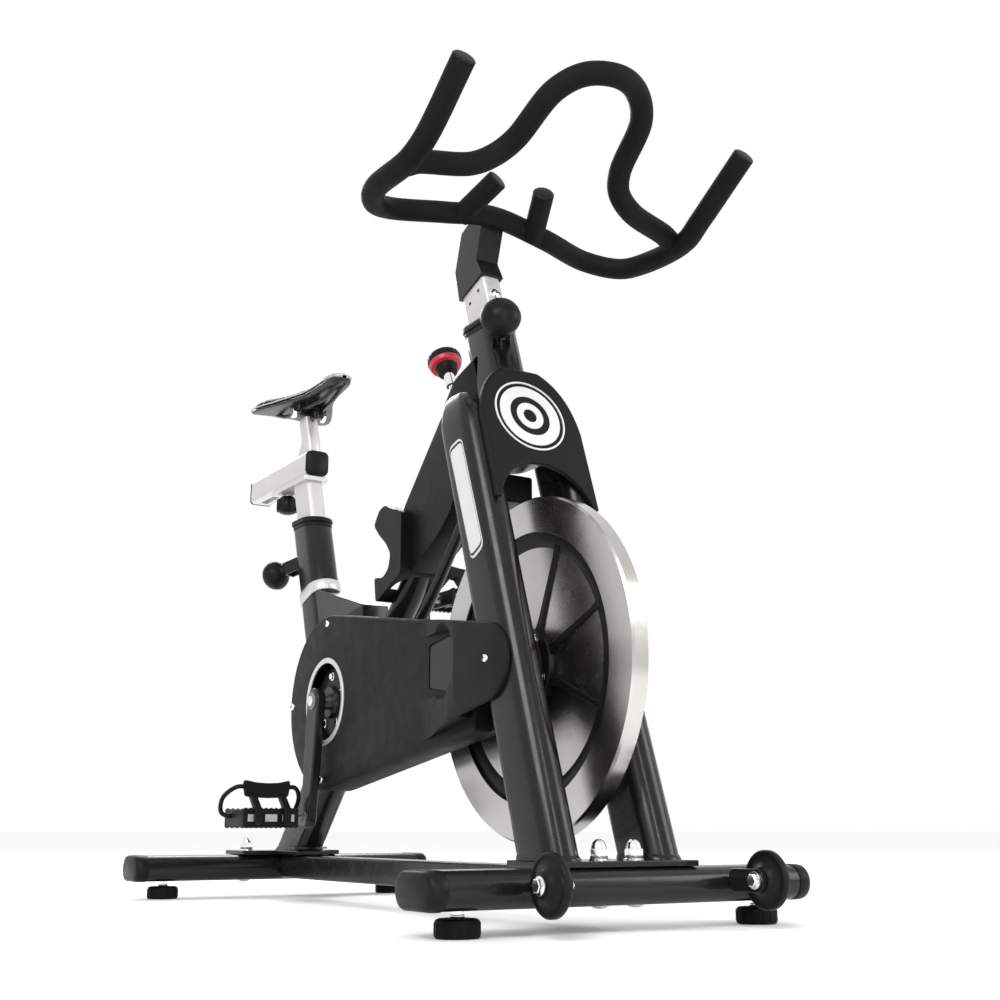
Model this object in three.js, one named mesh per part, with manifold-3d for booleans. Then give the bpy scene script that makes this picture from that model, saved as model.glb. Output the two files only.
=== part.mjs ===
// Indoor cycling bike: welded flat-oval tube frame, heavy front flywheel, chain drive with guard,
// two sliding posts with pop-pins, a push brake with a resistance knob, and levelling feet.
// Millimetres, +Z up. The rider faces -Y and the drive side (rider's right) is -X.
// y is laid out from the front feet row; the last lines move the origin to the middle of the base.
import * as THREE from 'three';
import { mergeVertices } from 'three/addons/utils/BufferGeometryUtils.js';
import Module from 'manifold-3d';

// ---------------------------------------------------------------- driving dimensions
const WHEELBASE = 922;            // front feet row to rear feet row
const FOOT_X = 201;               // feet, either side of the middle
const FOOT_R = 23.5;
const FOOT_H = 19;
const STAB_D = 80;                // stabilizer flat-oval section
const STAB_H = 39;
const STAB_Z0 = 27;               // underside of the stabilizers
const STAB_Z1 = STAB_Z0 + STAB_H;
const FRONT_HALF = 254;           // stabilizer half lengths with end caps
const REAR_HALF = 257;
const CAP_L = 20;
const GAP = 0.3;                  // between touching pieces
const PLATE_T = 7;

const SLOPE = 0.3346;             // tan of the lean shared by fork, head, seat tube and both posts
const FORK_X = 69;                // fork leg centre from the middle plane
const FORK_W = 45;                // flat-oval section, across
const FORK_D = 85;                // and along the bike, cut level
const FORK_Y0 = 30;               // leg centre line at z = FORK_Z0
const FORK_Z0 = 70;
const FORK_TOP = 690;
const LEG_GAP = 46.5;             // middle plane to the inner face of a fork leg
const TUBE_W = 50;                // head and seat tube section
const TUBE_D = 84;
const SEAT_Y0 = 831.4;            // seat tube centre line at z = SEAT_Z0
const SEAT_Z0 = 563.7;
const SEAT_TOP = 614;
const BEAM_END = 600;             // front end of the top beam
const HEAD_TOP = 778;
const HEAD_FOOT = 566;
const POST_W = 30;                // both posts, 30 x 60 tube
const POST_D = 63;

const AXLE_Y = 158;               // flywheel axle
const AXLE_Z = 300;
const WHEEL_R = 212;
const WHEEL_T = 23;
const SPOKES = 8;
const RIM_IN = 167;               // inner edge of the wheel's polished rim
const CRANK_Y = 617;              // crank axle
const CRANK_Z = 291;
const CRANK_L = 170;
const PEDAL_X = 158;              // pedal centre from the middle plane, half width and half height
const PEDAL_W = 42;
const PEDAL_H = 14;
const CRANK_TILT = 5 * Math.PI / 180;
const RING_R = 100;               // chainring and cog pitch discs, 52 and 16 teeth
const COG_R = 31;
const CHAIN_X = -38;              // chain line
const GUARD_X = -71;              // outer face of the guard
const GUARD_R1 = 130;             // guard outline: two circles and their tangents
const GUARD_R2 = 62;
const GUARD_WALL = 2.5;
const GUARD_STEP_Y = 186;         // forward of this the guard runs inside the fork leg

const SLIDER_Y0 = 836;            // saddle slider box
const SLIDER_Y1 = 1094;
const SLIDER_Z0 = 702;
const SLIDER_H = 42;
const SLIDER_W = 41;
const CLAMP_Z0 = 816.4;           // underside of the saddle clamp
const SADDLE_UNDER = 850;         // inside of the saddle shell
const RAIL_R = 3.5;
const BOTTLE_Y = 500;              // bottle holder's axis at z = BOTTLE_Z
const BOTTLE_Z = 510;
const BAR_R = 15;                 // handlebar tube
const NECK_Z = 853;               // joint of post and gooseneck, square to the post, z at y = NECK_Y
const NECK_Y = 276;
const HEAD_POST_FOOT = 620;       // lower ends of the two posts, inside their tubes
const SEAT_POST_FOOT = 464;
const PAD_GAP = 7;                // brake pad to rim, at rest
const TRANSPORT_R = 32;
const TRANSPORT_Y = -82;
const TRANSPORT_Z = 52;
const TRANSPORT_X = 143;

const ROD_ANGLE = Math.atan2(768 - AXLE_Z, 390 - AXLE_Y);   // brake rod points at the axle
const KNOB_REACH = Math.hypot(768 - AXLE_Z, 390 - AXLE_Y);  // axle to knob

// ---------------------------------------------------------------- materials
const finish = (color, roughness, metalness) => new THREE.MeshStandardMaterial({ color, roughness,
  metalness });
const PAINT = finish(0x131416, 0.25, 0.4);
const PLASTIC = finish(0x17181a, 0.55, 0.0);
const RUBBER = finish(0x232426, 0.85, 0.0);
const SILVER = finish(0xc4c4c2, 0.35, 0.9);
const CHROME = finish(0xd8d9da, 0.12, 1.0);
const IRON = finish(0x9a9894, 0.3, 0.95);
const STEEL = finish(0x55575a, 0.4, 0.9);
const RED = finish(0xb3202c, 0.4, 0.0);

// ---------------------------------------------------------------- tools
const wasm = await Module();
wasm.setup();

function toManifold(geometry) {
  const bare = geometry.clone();
  for (const key of Object.keys(bare.attributes)) {
    if (key !== 'position') bare.deleteAttribute(key);
  }
  const merged = mergeVertices(bare, 1e-3);
  const triVerts = Uint32Array.from(merged.index.array);
  const p = merged.attributes.position.array;
  let volume = 0;
  for (let i = 0; i < triVerts.length; i += 3) {
    const [a, b, c] = [0, 1, 2].map(k => new THREE.Vector3().fromArray(p, 3 * triVerts[i + k]));
    volume += a.dot(b.cross(c));
  }
  if (volume < 0) triVerts.reverse();
  return new wasm.Manifold(new wasm.Mesh({ numProp: 3, vertProperties: Float32Array.from(p), triVerts }));
}

function toGeometry(solid) {
  const { vertProperties, triVerts } = solid.getMesh();
  const geometry = new THREE.BufferGeometry();
  geometry.setAttribute('position', new THREE.BufferAttribute(Float32Array.from(vertProperties), 3));
  geometry.setIndex(Array.from(triVerts));
  return geometry;
}

const join = (...parts) => toGeometry(parts.map(toManifold).reduce((a, b) => a.add(b)));
const cut = (base, ...tools) => toGeometry(tools.map(toManifold).reduce((a, b) => a.subtract(b),
  toManifold(base)));
const common = (a, b) => toGeometry(toManifold(a).intersect(toManifold(b)));

const bike = new THREE.Group();
function add(name, geometry, material) {
  const mesh = new THREE.Mesh(toGeometry(toManifold(geometry)), material);
  mesh.name = name;
  bike.add(mesh);
}

// a flat-oval outline: w across (first axis), d long (second axis)
function oval(w, d, steps = 6) {
  const [r, along] = w < d ? [w / 2, true] : [d / 2, false];
  const reach = Math.abs(d - w) / 2;
  const points = [];
  for (const side of [1, -1]) {
    for (let i = 0; i <= steps; i += 1) {
      const t = Math.PI * i / steps;
      const [c, s] = [Math.cos(t) * r * side, Math.sin(t) * r * side + reach * side];
      points.push(along ? new THREE.Vector2(c, s) : new THREE.Vector2(s, -c));
    }
  }
  return new THREE.Shape(points);
}

function chamfered(w, d, c) {
  const [x, y] = [w / 2, d / 2];
  return new THREE.Shape([[x, y - c], [x - c, y], [c - x, y], [-x, y - c], [-x, c - y], [c - x, -y],
    [x - c, -y], [x, c - y]].map(([a, b]) => new THREE.Vector2(a, b)));
}

const extrude = (shape, depth) => new THREE.ExtrudeGeometry(shape, { depth, bevelEnabled: false,
  curveSegments: 8 });
const box = (x0, x1, y0, y1, z0, z1) => new THREE.BoxGeometry(x1 - x0, y1 - y0, z1 - z0)
  .translate((x0 + x1) / 2, (y0 + y1) / 2, (z0 + z1) / 2);
const rodX = (r, x0, x1, y, z, sides = 20) => new THREE.CylinderGeometry(r, r, x1 - x0, sides)
  .rotateZ(Math.PI / 2).translate((x0 + x1) / 2, y, z);
const rodZ = (r, x, y, z0, z1, sides = 20) => new THREE.CylinderGeometry(r, r, z1 - z0, sides)
  .rotateX(Math.PI / 2).translate(x, y, (z0 + z1) / 2);

// a prism from z0 to z1 whose centre line leans back with the shared slope through (lineY, lineZ)
function leaning(shape, x, lineY, lineZ, z0, z1) {
  const geometry = extrude(shape, z1 - z0).translate(x, 0, z0);
  const shear = new THREE.Matrix4().makeShear(0, 0, 0, 0, 0, SLOPE);
  return geometry.applyMatrix4(shear).translate(0, lineY - SLOPE * lineZ, 0);
}
const alongFork = z => FORK_Y0 + SLOPE * (z - FORK_Z0);
const alongSeat = z => SEAT_Y0 + SLOPE * (z - SEAT_Z0);

// an outline drawn in the side plane (y, z), extruded from x0 to x1
function sideSlab(shape, x0, x1) {
  const turn = new THREE.Matrix4().makeBasis(new THREE.Vector3(0, 1, 0), new THREE.Vector3(0, 0, 1),
    new THREE.Vector3(1, 0, 0));
  return extrude(shape, x1 - x0).applyMatrix4(turn).translate(x0, 0, 0);
}
const sideShape = points => new THREE.Shape(points.map(([y, z]) => new THREE.Vector2(y, z)));

// the outline round two circles and their common tangents
function beltShape(y1, z1, r1, y2, z2, r2, steps = 14) {
  const [dy, dz] = [y2 - y1, z2 - z1];
  const facing = Math.atan2(dz, dy);
  const open = Math.acos((r1 - r2) / Math.hypot(dy, dz));
  const points = [];
  for (let i = 0; i <= steps; i += 1) {
    const t = facing + open + (2 * Math.PI - 2 * open) * i / steps;
    points.push([y1 + r1 * Math.cos(t), z1 + r1 * Math.sin(t)]);
  }
  for (let i = 0; i <= steps; i += 1) {
    const t = facing - open + 2 * open * i / steps;
    points.push([y2 + r2 * Math.cos(t), z2 + r2 * Math.sin(t)]);
  }
  return sideShape(points);
}

// a tube of the given outline swept along a smooth path
function swept(shape, points, steps) {
  const path = new THREE.CatmullRomCurve3(points.map(p => new THREE.Vector3(...p)), false, 'centripetal');
  return new THREE.ExtrudeGeometry(shape, { steps, bevelEnabled: false, extrudePath: path,
    curveSegments: 6 });
}
const round = (r, sides = 10) => new THREE.Shape(Array.from({ length: sides }, (_, i) =>
  new THREE.Vector2(r * Math.cos(2 * Math.PI * i / sides), r * Math.sin(2 * Math.PI * i / sides))));

// a solid of revolution about the bike's X axis at (y, z); the profile is [x, radius] pairs
function turnedX(profile, y, z, sides) {
  const points = profile.map(([x, r]) => new THREE.Vector2(r, x));
  return new THREE.LatheGeometry(points, sides).rotateZ(-Math.PI / 2).translate(0, y, z);
}

// ---------------------------------------------------------------- base
function makeBase() {
  const section = stabilizerOval();
  for (const [end, y, half] of [['front', 0, FRONT_HALF], ['rear', WHEELBASE, REAR_HALF]]) {
    const reach = half - CAP_L;
    add(`${end}_stabilizer`, sectionX(section, -reach, reach, y), PAINT);
    for (const [side, s] of [['right', -1], ['left', 1]]) {
      const inner = reach + GAP;
      const cap = join(
        sectionX(section, Math.min(s * inner, s * (half - 6)), Math.max(s * inner, s * (half - 6)), y),
        sectionX(oval(STAB_D - 8, STAB_H - 8), Math.min(s * (half - 7), s * half), Math.max(s * (half - 7),
          s * half), y),
      );
      add(`${end}_end_cap_${side}`, cap, PLASTIC);
    }
  }
  add('base_beam', box(-20, 20, STAB_D / 2 + GAP, WHEELBASE - STAB_D / 2 - GAP, STAB_Z0 + 3, STAB_Z1 - 1),
    PAINT);
  add('front_plate', box(-92, 92, -30, 80, STAB_Z1 + GAP, STAB_Z1 + PLATE_T), PAINT);
  add('rear_plate', join(box(-85, 85, WHEELBASE - 40, WHEELBASE + 40, STAB_Z1 + GAP, STAB_Z1 + PLATE_T),
    box(-28, 28, 800, WHEELBASE - 39, STAB_Z1 + GAP, STAB_Z1 + PLATE_T)), PAINT);
  for (const [end, y] of [['front', 0], ['rear', WHEELBASE]]) {
    for (const [side, s] of [['right', -1], ['left', 1]]) {
      const foot = join(rodZ(FOOT_R, s * FOOT_X, y, 0, FOOT_H, 24), rodZ(6, s * FOOT_X, y, FOOT_H - 2,
        STAB_Z0 - GAP, 12));
      add(`${end}_foot_${side}`, foot, RUBBER);
    }
  }
}
const stabilizerOval = () => oval(STAB_D, STAB_H, 8);
function sectionX(shape, x0, x1, y) {
  const turn = new THREE.Matrix4().makeBasis(new THREE.Vector3(0, 1, 0), new THREE.Vector3(0, 0, 1),
    new THREE.Vector3(1, 0, 0));
  return extrude(shape, x1 - x0).applyMatrix4(turn).translate(x0, y, (STAB_Z0 + STAB_Z1) / 2);
}

// ---------------------------------------------------------------- fork, head and posts
function makeFork() {
  const foot = STAB_Z1 + PLATE_T + GAP;
  // the legs end in a rounded nose under the shroud
  const nose = sideShape([[-50, 0], [-50, 600], [-43, 632], [-31, 652], [-14, 661], [8, 662], [27, 655],
    [42, 638],
    [50, 605], [50, 0]].map(([dy, z]) => [dy + alongFork(z), z]));
  for (const [side, s] of [['right', -1], ['left', 1]]) {
    const leg = leaning(oval(FORK_W, FORK_D), s * FORK_X, FORK_Y0, FORK_Z0, foot, FORK_TOP);
    const rounded = common(leg, sideSlab(nose, s * FORK_X - 40, s * FORK_X + 40));
    const bore = rodX(6.1, s * FORK_X - 40, s * FORK_X + 40, AXLE_Y, AXLE_Z, 16);
    add(`fork_leg_${side}`, cut(rounded, bore), PAINT);
  }
  const bore = leaning(oval(TUBE_W - 6, TUBE_D - 6), 0, FORK_Y0, FORK_Z0, HEAD_FOOT + 20, HEAD_TOP + 1);
  const tube = leaning(oval(TUBE_W, TUBE_D), 0, FORK_Y0, FORK_Z0, HEAD_FOOT, HEAD_TOP);
  const [webY, webHalf] = [alongFork(620), 24];
  const webs = [-1, 1].map(s => box(Math.min(s * 22, s * (LEG_GAP - GAP)), Math.max(s * 22,
    s * (LEG_GAP - GAP)),
    webY - webHalf, webY + 18, 590, 650));
  add('head_tube', cut(join(tube, ...webs, pinBracket(HEAD_PIN)), bore, pinBore(HEAD_PIN)), PAINT);
  add('head_sleeve', sleeve(FORK_Y0, FORK_Z0, HEAD_TOP, 90), PLASTIC);
  const above = sideShape([[200, neckJoint(200) - GAP], [400, neckJoint(400) - GAP], [400, 950], [200,
    950]]);
  const post = leaning(chamfered(POST_W, POST_D, 4), 0, FORK_Y0, FORK_Z0, HEAD_POST_FOOT, 880);
  add('handlebar_post', cut(post, sideSlab(above, -30, 30)), SILVER);
}

const neckJoint = y => NECK_Z - SLOPE * (y - NECK_Y);

// the plastic sleeve that guides a post: a rim above the tube and a liner inside it
function sleeve(lineY, lineZ, top, depth) {
  const liner = leaning(oval(TUBE_W - 6.6, TUBE_D - 6.6), 0, lineY, lineZ, top - depth, top + 2);
  const rim = leaning(oval(TUBE_W + 6, TUBE_D + 6), 0, lineY, lineZ, top + GAP, top + 9);
  const bore = leaning(chamfered(POST_W + 0.8, POST_D + 0.8, 4), 0, lineY, lineZ, top - depth - 1,
    top + 10);
  return cut(join(liner, rim), bore);
}

// ---------------------------------------------------------------- pop-pins
// each pin stands square to its leaning tube, turned towards the rider's right
const PIN_R = 5;
const HEAD_PIN = {
  base: [0, alongFork(742) - 17, 742], way: new THREE.Vector3(-0.53, -0.804, 0.269).normalize(),
  ear: 42, ball: 70, ballR: 26,
};
const SEAT_PIN = {
  base: [0, alongSeat(554) + 17, 554], way: new THREE.Vector3(-0.5, 0.821, -0.2745).normalize(),
  ear: 52, ball: 77, ballR: 24,
};
// a shape built round +Y and moved on to a pin's axis, starting at the pin's base point
function onPin(pin, geometry) {
  const turn = new THREE.Quaternion().setFromUnitVectors(new THREE.Vector3(0, 1, 0), pin.way);
  return geometry.applyQuaternion(turn).translate(...pin.base);
}
const pinRod = (pin, r0, r1, from, to, sides) => onPin(pin,
  new THREE.CylinderGeometry(r1, r0, to - from, sides).translate(0, (from + to) / 2, 0));
const pinBore = pin => pinRod(pin, PIN_R + 0.3, PIN_R + 0.3, 10, 90, 12);
const pinBracket = pin => onPin(pin, new THREE.BoxGeometry(20, pin.ear - 22, 24).translate(0,
  (pin.ear + 22) / 2, 0));
function popPin(pin) {
  const ball = onPin(pin, new THREE.SphereGeometry(pin.ballR, 12, 8).translate(0, pin.ball, 0));
  const neck = pinRod(pin, 10, 14, pin.ear + GAP, pin.ball - 12, 14);
  return join(ball, neck, pinRod(pin, PIN_R, PIN_R, 22, pin.ball, 12));
}
function makePins() {
  add('handlebar_pop_pin', popPin(HEAD_PIN), PLASTIC);
  add('seat_pop_pin', popPin(SEAT_PIN), PLASTIC);
}

// ---------------------------------------------------------------- rear frame
function makeRearFrame() {
  const seatFoot = 262;
  const tube = leaning(oval(TUBE_W, TUBE_D), 0, SEAT_Y0, SEAT_Z0, seatFoot, SEAT_TOP);
  const bore = leaning(oval(TUBE_W - 6, TUBE_D - 6), 0, SEAT_Y0, SEAT_Z0, 400, SEAT_TOP + 1);
  add('seat_tube', cut(join(tube, pinBracket(SEAT_PIN)), bore, pinBore(SEAT_PIN)), PAINT);
  add('seat_sleeve', sleeve(SEAT_Y0, SEAT_Z0, SEAT_TOP, 90), PLASTIC);

  // the silver band wraps the seat tube low down, square to it
  const bandZ = 487;
  const band = extrude(oval(TUBE_W + 6, TUBE_D + 2), 19).translate(0, 0, -9.5)
    .rotateX(-Math.atan(SLOPE)).translate(0, alongSeat(bandZ), bandZ);
  const inside = leaning(oval(TUBE_W + 0.6, TUBE_D + 0.6), 0, SEAT_Y0, SEAT_Z0, 400, 580);
  add('seat_tube_band', cut(band, inside), SILVER);

  // rear leg: from the rear plate up and forward to the crank shell
  const legSlope = 0.95;
  const legLine = z => 858 - legSlope * (z - 73);
  const [z0, z1] = [STAB_Z1 + PLATE_T + GAP, 330];
  const shear = new THREE.Matrix4().makeShear(0, 0, 0, 0, 0, -legSlope);
  const leg = extrude(oval(FORK_W, 112), z1 - z0).translate(0, 0, z0).applyMatrix4(shear)
    .translate(0, legLine(0), 0);
  const shellHole = rodX(27, -60, 60, CRANK_Y, CRANK_Z, 24);
  const clearTube = leaning(oval(TUBE_W + 0.6, TUBE_D + 0.6), 0, SEAT_Y0, SEAT_Z0, seatFoot - GAP, 360);
  add('rear_leg', cut(leg, shellHole, clearTube), PAINT);
  const shell = cut(rodX(26.7, -28, 28, CRANK_Y, CRANK_Z, 24), rodX(12.3, -40, 40, CRANK_Y, CRANK_Z, 24));
  add('crank_shell', shell, STEEL);

  // top beam runs forward and down from the seat tube, and the down tube sweeps up from it to the head
  const beam = sideSlab(sideShape([[812, 500], [BEAM_END, 440], [BEAM_END, 376], [812, 430]]), -22, 22);
  add('top_beam', cut(beam, seatTubeClear(band)), PAINT);
  // a thin stay runs beside the brake rod, from the foot of the head tube to the bend of the down tube
  const stay = swept(round(8, 8), [[-15, 240, 582], [-15, 300, 521], [-15, 430, 389], [-14, 476, 358],
    [-12, 520, 358],
    [-8, 556, 384]], 10);
  const behind = box(-60, 60, BEAM_END - GAP, 700, 300, 500);
  add('down_tube', cut(join(downTube(38, 40), stay), rodClear(7, 215, 600, 12), headClear(), behind),
    PAINT);
}
const downTube = (w, d) => swept(oval(d, w, 4), [[0, BEAM_END + 6, 400], [0, 570, 396], [0, 535, 400], [0,
  500, 428], [0, 462, 470],
  [0, 415, 524], [0, 360, 584], [0, 300, 634], [0, 240, 672]], 11);
// the space of the seat tube and its band, with a gap round it
function seatTubeClear(band) {
  return join(leaning(oval(TUBE_W + 0.6, TUBE_D + 0.6), 0, SEAT_Y0, SEAT_Z0, 350, 600), band);
}
const headClear = () => leaning(oval(TUBE_W + 0.6, TUBE_D + 0.6), 0, FORK_Y0, FORK_Z0, HEAD_FOOT - GAP,
  800);

// a cylinder round the brake rod's axis between two distances from the flywheel axle
function rodClear(r, from, to, sides = 16, r2 = r) {
  const length = to - from;
  return new THREE.CylinderGeometry(r2, r, length, sides).translate(0, from + length / 2, 0)
    .rotateX(ROD_ANGLE).translate(0, AXLE_Y, AXLE_Z);
}

// ---------------------------------------------------------------- covers
function makeCovers() {
  // front shroud: a shield in front of the head and legs, arched over the flywheel
  const [top, low] = [697, 500];
  const outline = new THREE.Shape();
  outline.moveTo(-77, low);
  outline.lineTo(-77, 612);
  outline.quadraticCurveTo(-70, 676, -26, top);
  outline.lineTo(26, top);
  outline.quadraticCurveTo(70, 676, 77, 612);
  outline.lineTo(77, low);
  outline.lineTo(70, low);
  outline.quadraticCurveTo(52, 556, 0, 556);
  outline.quadraticCurveTo(-52, 556, -70, low);
  const upright = new THREE.Matrix4().makeBasis(new THREE.Vector3(1, 0, 0), new THREE.Vector3(0, 0, 1),
    new THREE.Vector3(0, -1, 0));
  const shear = new THREE.Matrix4().makeShear(0, 0, 0, 0, 0, SLOPE);
  const shield = extrude(outline, 10).applyMatrix4(upright).applyMatrix4(shear)
    .translate(0, FORK_Y0 - SLOPE * FORK_Z0 - FORK_D / 2 - GAP, 0);
  add('front_shroud', shield, PLASTIC);

  // frame cover: a box over the down tube behind the head, ending in two arms that clip a bottle
  const body = sideShape([[255, 737], [321, 718], [349, 688], [352, 677], [462, 566], [500, 510], [512,
    432], [449, 460],
    [365, 502], [329, 531], [262, 640]]);
  const arms = sideShape([[440, 548], [452, 556], [472, 562], [493, 572], [511, 566], [527, 546], [509,
    528], [487, 512],
    [472, 494], [478, 473], [495, 462], [522, 466], [516, 426], [440, 462]]);
  const pocket = leaning(round(36, 24), 0, BOTTLE_Y, BOTTLE_Z, 444, 660);
  const mouth = leaning(new THREE.Shape([[-28, 0], [28, 0], [28, 90], [-28,
    90]].map(p => new THREE.Vector2(...p))),
    0, BOTTLE_Y, BOTTLE_Z, 444, 660);
  const cover = join(sideSlab(body, -25, 25), sideSlab(arms, -42, 42));
  add('frame_cover', cut(cover, pocket, mouth, headClear(), downTube(38.8, 40.8), rodClear(9, 215, 700, 12),
    box(-60, 60, BEAM_END - 60, 700, 300, 447)), PLASTIC);
}

function makeGuard() {
  const outline = (inset = 0) => beltShape(CRANK_Y, CRANK_Z, GUARD_R1 - inset, AXLE_Y + 4, AXLE_Z - 12,
    GUARD_R2 - inset);
  const back = -31;
  const legFace = -45.8;
  const keepRear = (y, x0) => box(x0, 0, y, 900, 0, 600);
  const keepAll = x0 => box(x0, 0, 0, 900, 0, 600);
  const outer = join(
    common(sideSlab(outline(), GUARD_X, back), keepRear(GUARD_STEP_Y, GUARD_X - 1)),
    common(sideSlab(outline(), legFace, back), keepAll(legFace - 1)),
  );
  const inner = join(
    common(sideSlab(outline(GUARD_WALL), GUARD_X + GUARD_WALL, back + 1),
      keepRear(GUARD_STEP_Y + GUARD_WALL, -100)),
    sideSlab(outline(GUARD_WALL), legFace + GUARD_WALL, back + 1),
  );
  const hole = rodX(52, GUARD_X - 5, GUARD_X + 10, CRANK_Y, CRANK_Z, 32);
  const axleHole = rodX(9, -60, -20, AXLE_Y, AXLE_Z, 16);
  add('guard_shell', cut(outer, inner, hole, axleHole), PLASTIC);
  const plate = sideSlab(outline(), back + GAP, back + 2.3);
  add('guard_back', cut(plate, rodX(16, -40, -20, CRANK_Y, CRANK_Z), rodX(26, -40, -20, AXLE_Y, AXLE_Z)),
    PLASTIC);

  // front cover: a rounded cap outside the fork leg, stepping down to the guard's face behind it
  const face = beltShape(236, 302, 52, 116, 298, 50, 12);
  const plan = new THREE.Shape([[-98, 60], [-92, 60], [-92, 188], [GUARD_X - GAP, 192], [GUARD_X - GAP,
    262],
    [-98, 186]].map(([x, y]) => new THREE.Vector2(x, y)));
  const thick = extrude(plan, 300).translate(0, 0, 150);
  add('guard_front_cover', common(sideSlab(face, -98, GUARD_X - GAP), thick), PLASTIC);
}

// ---------------------------------------------------------------- flywheel and drive
function makeDrive() {
  const [half, web, hub] = [WHEEL_T / 2, 4.5, 15];
  const rim = [[-half, RIM_IN], [-half, WHEEL_R - 3], [3 - half, WHEEL_R], [half - 3, WHEEL_R], [half,
    WHEEL_R - 3],
    [half, RIM_IN], [web, RIM_IN - 9], [web, 46], [hub - 4, 42], [hub, 26], [hub, 8.05], [-hub, 8.05],
      [-hub, 26],
    [4 - hub, 42], [-web, 46], [-web, RIM_IN - 9], [-half, RIM_IN]];
  let wheel = turnedX(rim, AXLE_Y, AXLE_Z, 48);
  for (let i = 0; i < SPOKES; i += 1) {
    const angle = (i + 0.5) * 2 * Math.PI / SPOKES;
    const spoke = new THREE.Shape([[38, -9], [RIM_IN - 4, -4], [RIM_IN - 4, 4], [38,
      9]].map(p => new THREE.Vector2(...p)));
    const bar = sideSlab(spoke, -web - 2.5, web + 2.5).rotateX(angle).translate(0, AXLE_Y, AXLE_Z);
    wheel = join(wheel, bar);
  }
  add('flywheel', wheel, IRON);
  add('flywheel_axle', join(rodX(6, -84, 84, AXLE_Y, AXLE_Z, 20), rodX(8, -36, 36, AXLE_Y, AXLE_Z, 24)),
    CHROME);
  const boss = 24;
  add('flywheel_cog', cut(join(rodX(COG_R, CHAIN_X - 1.5, CHAIN_X + 1.5, AXLE_Y, AXLE_Z, 24),
    rodX(boss, CHAIN_X, -15.3, AXLE_Y, AXLE_Z, 24)), rodX(8.4, -60, 0, AXLE_Y, AXLE_Z, 24)), STEEL);
  const loop = (r1, r2, x) => sideSlab(beltShape(CRANK_Y, CRANK_Z, r1, AXLE_Y, AXLE_Z, r2, 16),
    CHAIN_X - x, CHAIN_X + x);
  add('drive_chain', cut(loop(RING_R + 7, COG_R + 7, 3.5), loop(RING_R + 1.2, COG_R + 1.2, 5)), STEEL);

  // chainring with five lightening holes, on the crank spindle
  const windows = Array.from({ length: 5 }, (_, i) => {
    const t = i * 2 * Math.PI / 5 + 0.3;
    return rodX(22, CHAIN_X - 8, CHAIN_X + 8, CRANK_Y + 64 * Math.cos(t), CRANK_Z + 64 * Math.sin(t), 12);
  });
  const ring = join(rodX(RING_R, CHAIN_X - 2, CHAIN_X + 2, CRANK_Y, CRANK_Z, 36), rodX(30, -66, CHAIN_X,
    CRANK_Y, CRANK_Z, 24));
  add('chainring', cut(ring, ...windows, rodX(12.3, -80, 0, CRANK_Y, CRANK_Z, 24)), PAINT);
  add('crank_spindle', rodX(12, -77.6, 77.6, CRANK_Y, CRANK_Z, 24), STEEL);
}

// ---------------------------------------------------------------- cranks and pedals
function makeCranks() {
  for (const [side, s] of [['right', -1], ['left', 1]]) {
    const shape = beltShape(0, 0, 19, 0, -CRANK_L, 14.5, 8);
    const [x0, x1] = s < 0 ? [-92, -78] : [78, 92];
    const arm = cut(sideSlab(shape, x0, x1), rodX(7.4, -120, 120, 0, -CRANK_L, 16));
    const turn = side === 'right' ? CRANK_TILT : CRANK_TILT + Math.PI;
    add(`crank_arm_${side}`, arm.rotateX(turn).translate(0, CRANK_Y, CRANK_Z), PAINT);
    makePedal(side, s, turn);
  }
}
const pedalCentre = turn => [CRANK_Y + CRANK_L * Math.sin(turn), CRANK_Z - CRANK_L * Math.cos(turn)];
function makePedal(side, s, turn) {
  const [y, z] = pedalCentre(turn);
  const span = (x0, x1) => [Math.min(s * x0, s * x1), Math.max(s * x0, s * x1)];
  const [b0, b1] = span(PEDAL_X - PEDAL_W, PEDAL_X + PEDAL_W);
  const body = box(b0, b1, y - 36, y + 36, z - PEDAL_H, z + PEDAL_H);
  const hollows = [-23, 23].flatMap(dy => [-22, 22].map(dx =>
    box(s * PEDAL_X + dx - 14, s * PEDAL_X + dx + 14, y + dy - 8, y + dy + 8, z - 20, z + 20)));
  const pin = rodX(7, ...span(78.4, PEDAL_X - PEDAL_W + 2), y, z, 12);
  add(`pedal_${side}`, join(cut(body, ...hollows), pin), PLASTIC);

  // toe cage: a curved bar over the toes on two struts, with a hoop down to each side of the pedal
  const crown = new THREE.Shape([[-30, 31], [-34, 53], [-16, 49], [16, 49], [34, 53], [30, 31], [0, 28]]
    .map(p => new THREE.Vector2(...p)));
  const upright = new THREE.Matrix4().makeBasis(new THREE.Vector3(1, 0, 0), new THREE.Vector3(0, 0, 1),
    new THREE.Vector3(0, -1, 0));
  const plate = extrude(crown, 5).applyMatrix4(upright).translate(s * PEDAL_X, y - 12, z);
  const strut = sideShape([[-12, 31], [-17, 36], [-45, 12], [-45, -9], [-36 - GAP, -9], [-36 - GAP, 8]]
    .map(([dy, dz]) => [y + dy, z + dz]));
  const struts = [-22, 22].map(dx => sideSlab(strut, s * PEDAL_X + dx - 5, s * PEDAL_X + dx + 5));
  const hoops = [-1, 1].map(k => swept(round(3, 6), [[28, -14.5, 43], [44, -13, 43], [58, 4, 28], [55, 16,
    8], [46, 16, 3],
    [36, 16, 3]].map(([dx, dy, dz]) => [s * PEDAL_X + k * dx, y + dy, z + dz]), 8));
  const clear = box(b0 - GAP, b1 + GAP, y - 36 - GAP, y + 36 + GAP, z - PEDAL_H - GAP, z + PEDAL_H + GAP);
  add(`toe_cage_${side}`, cut(join(plate, ...struts, ...hoops), clear), PLASTIC);
}

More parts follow.
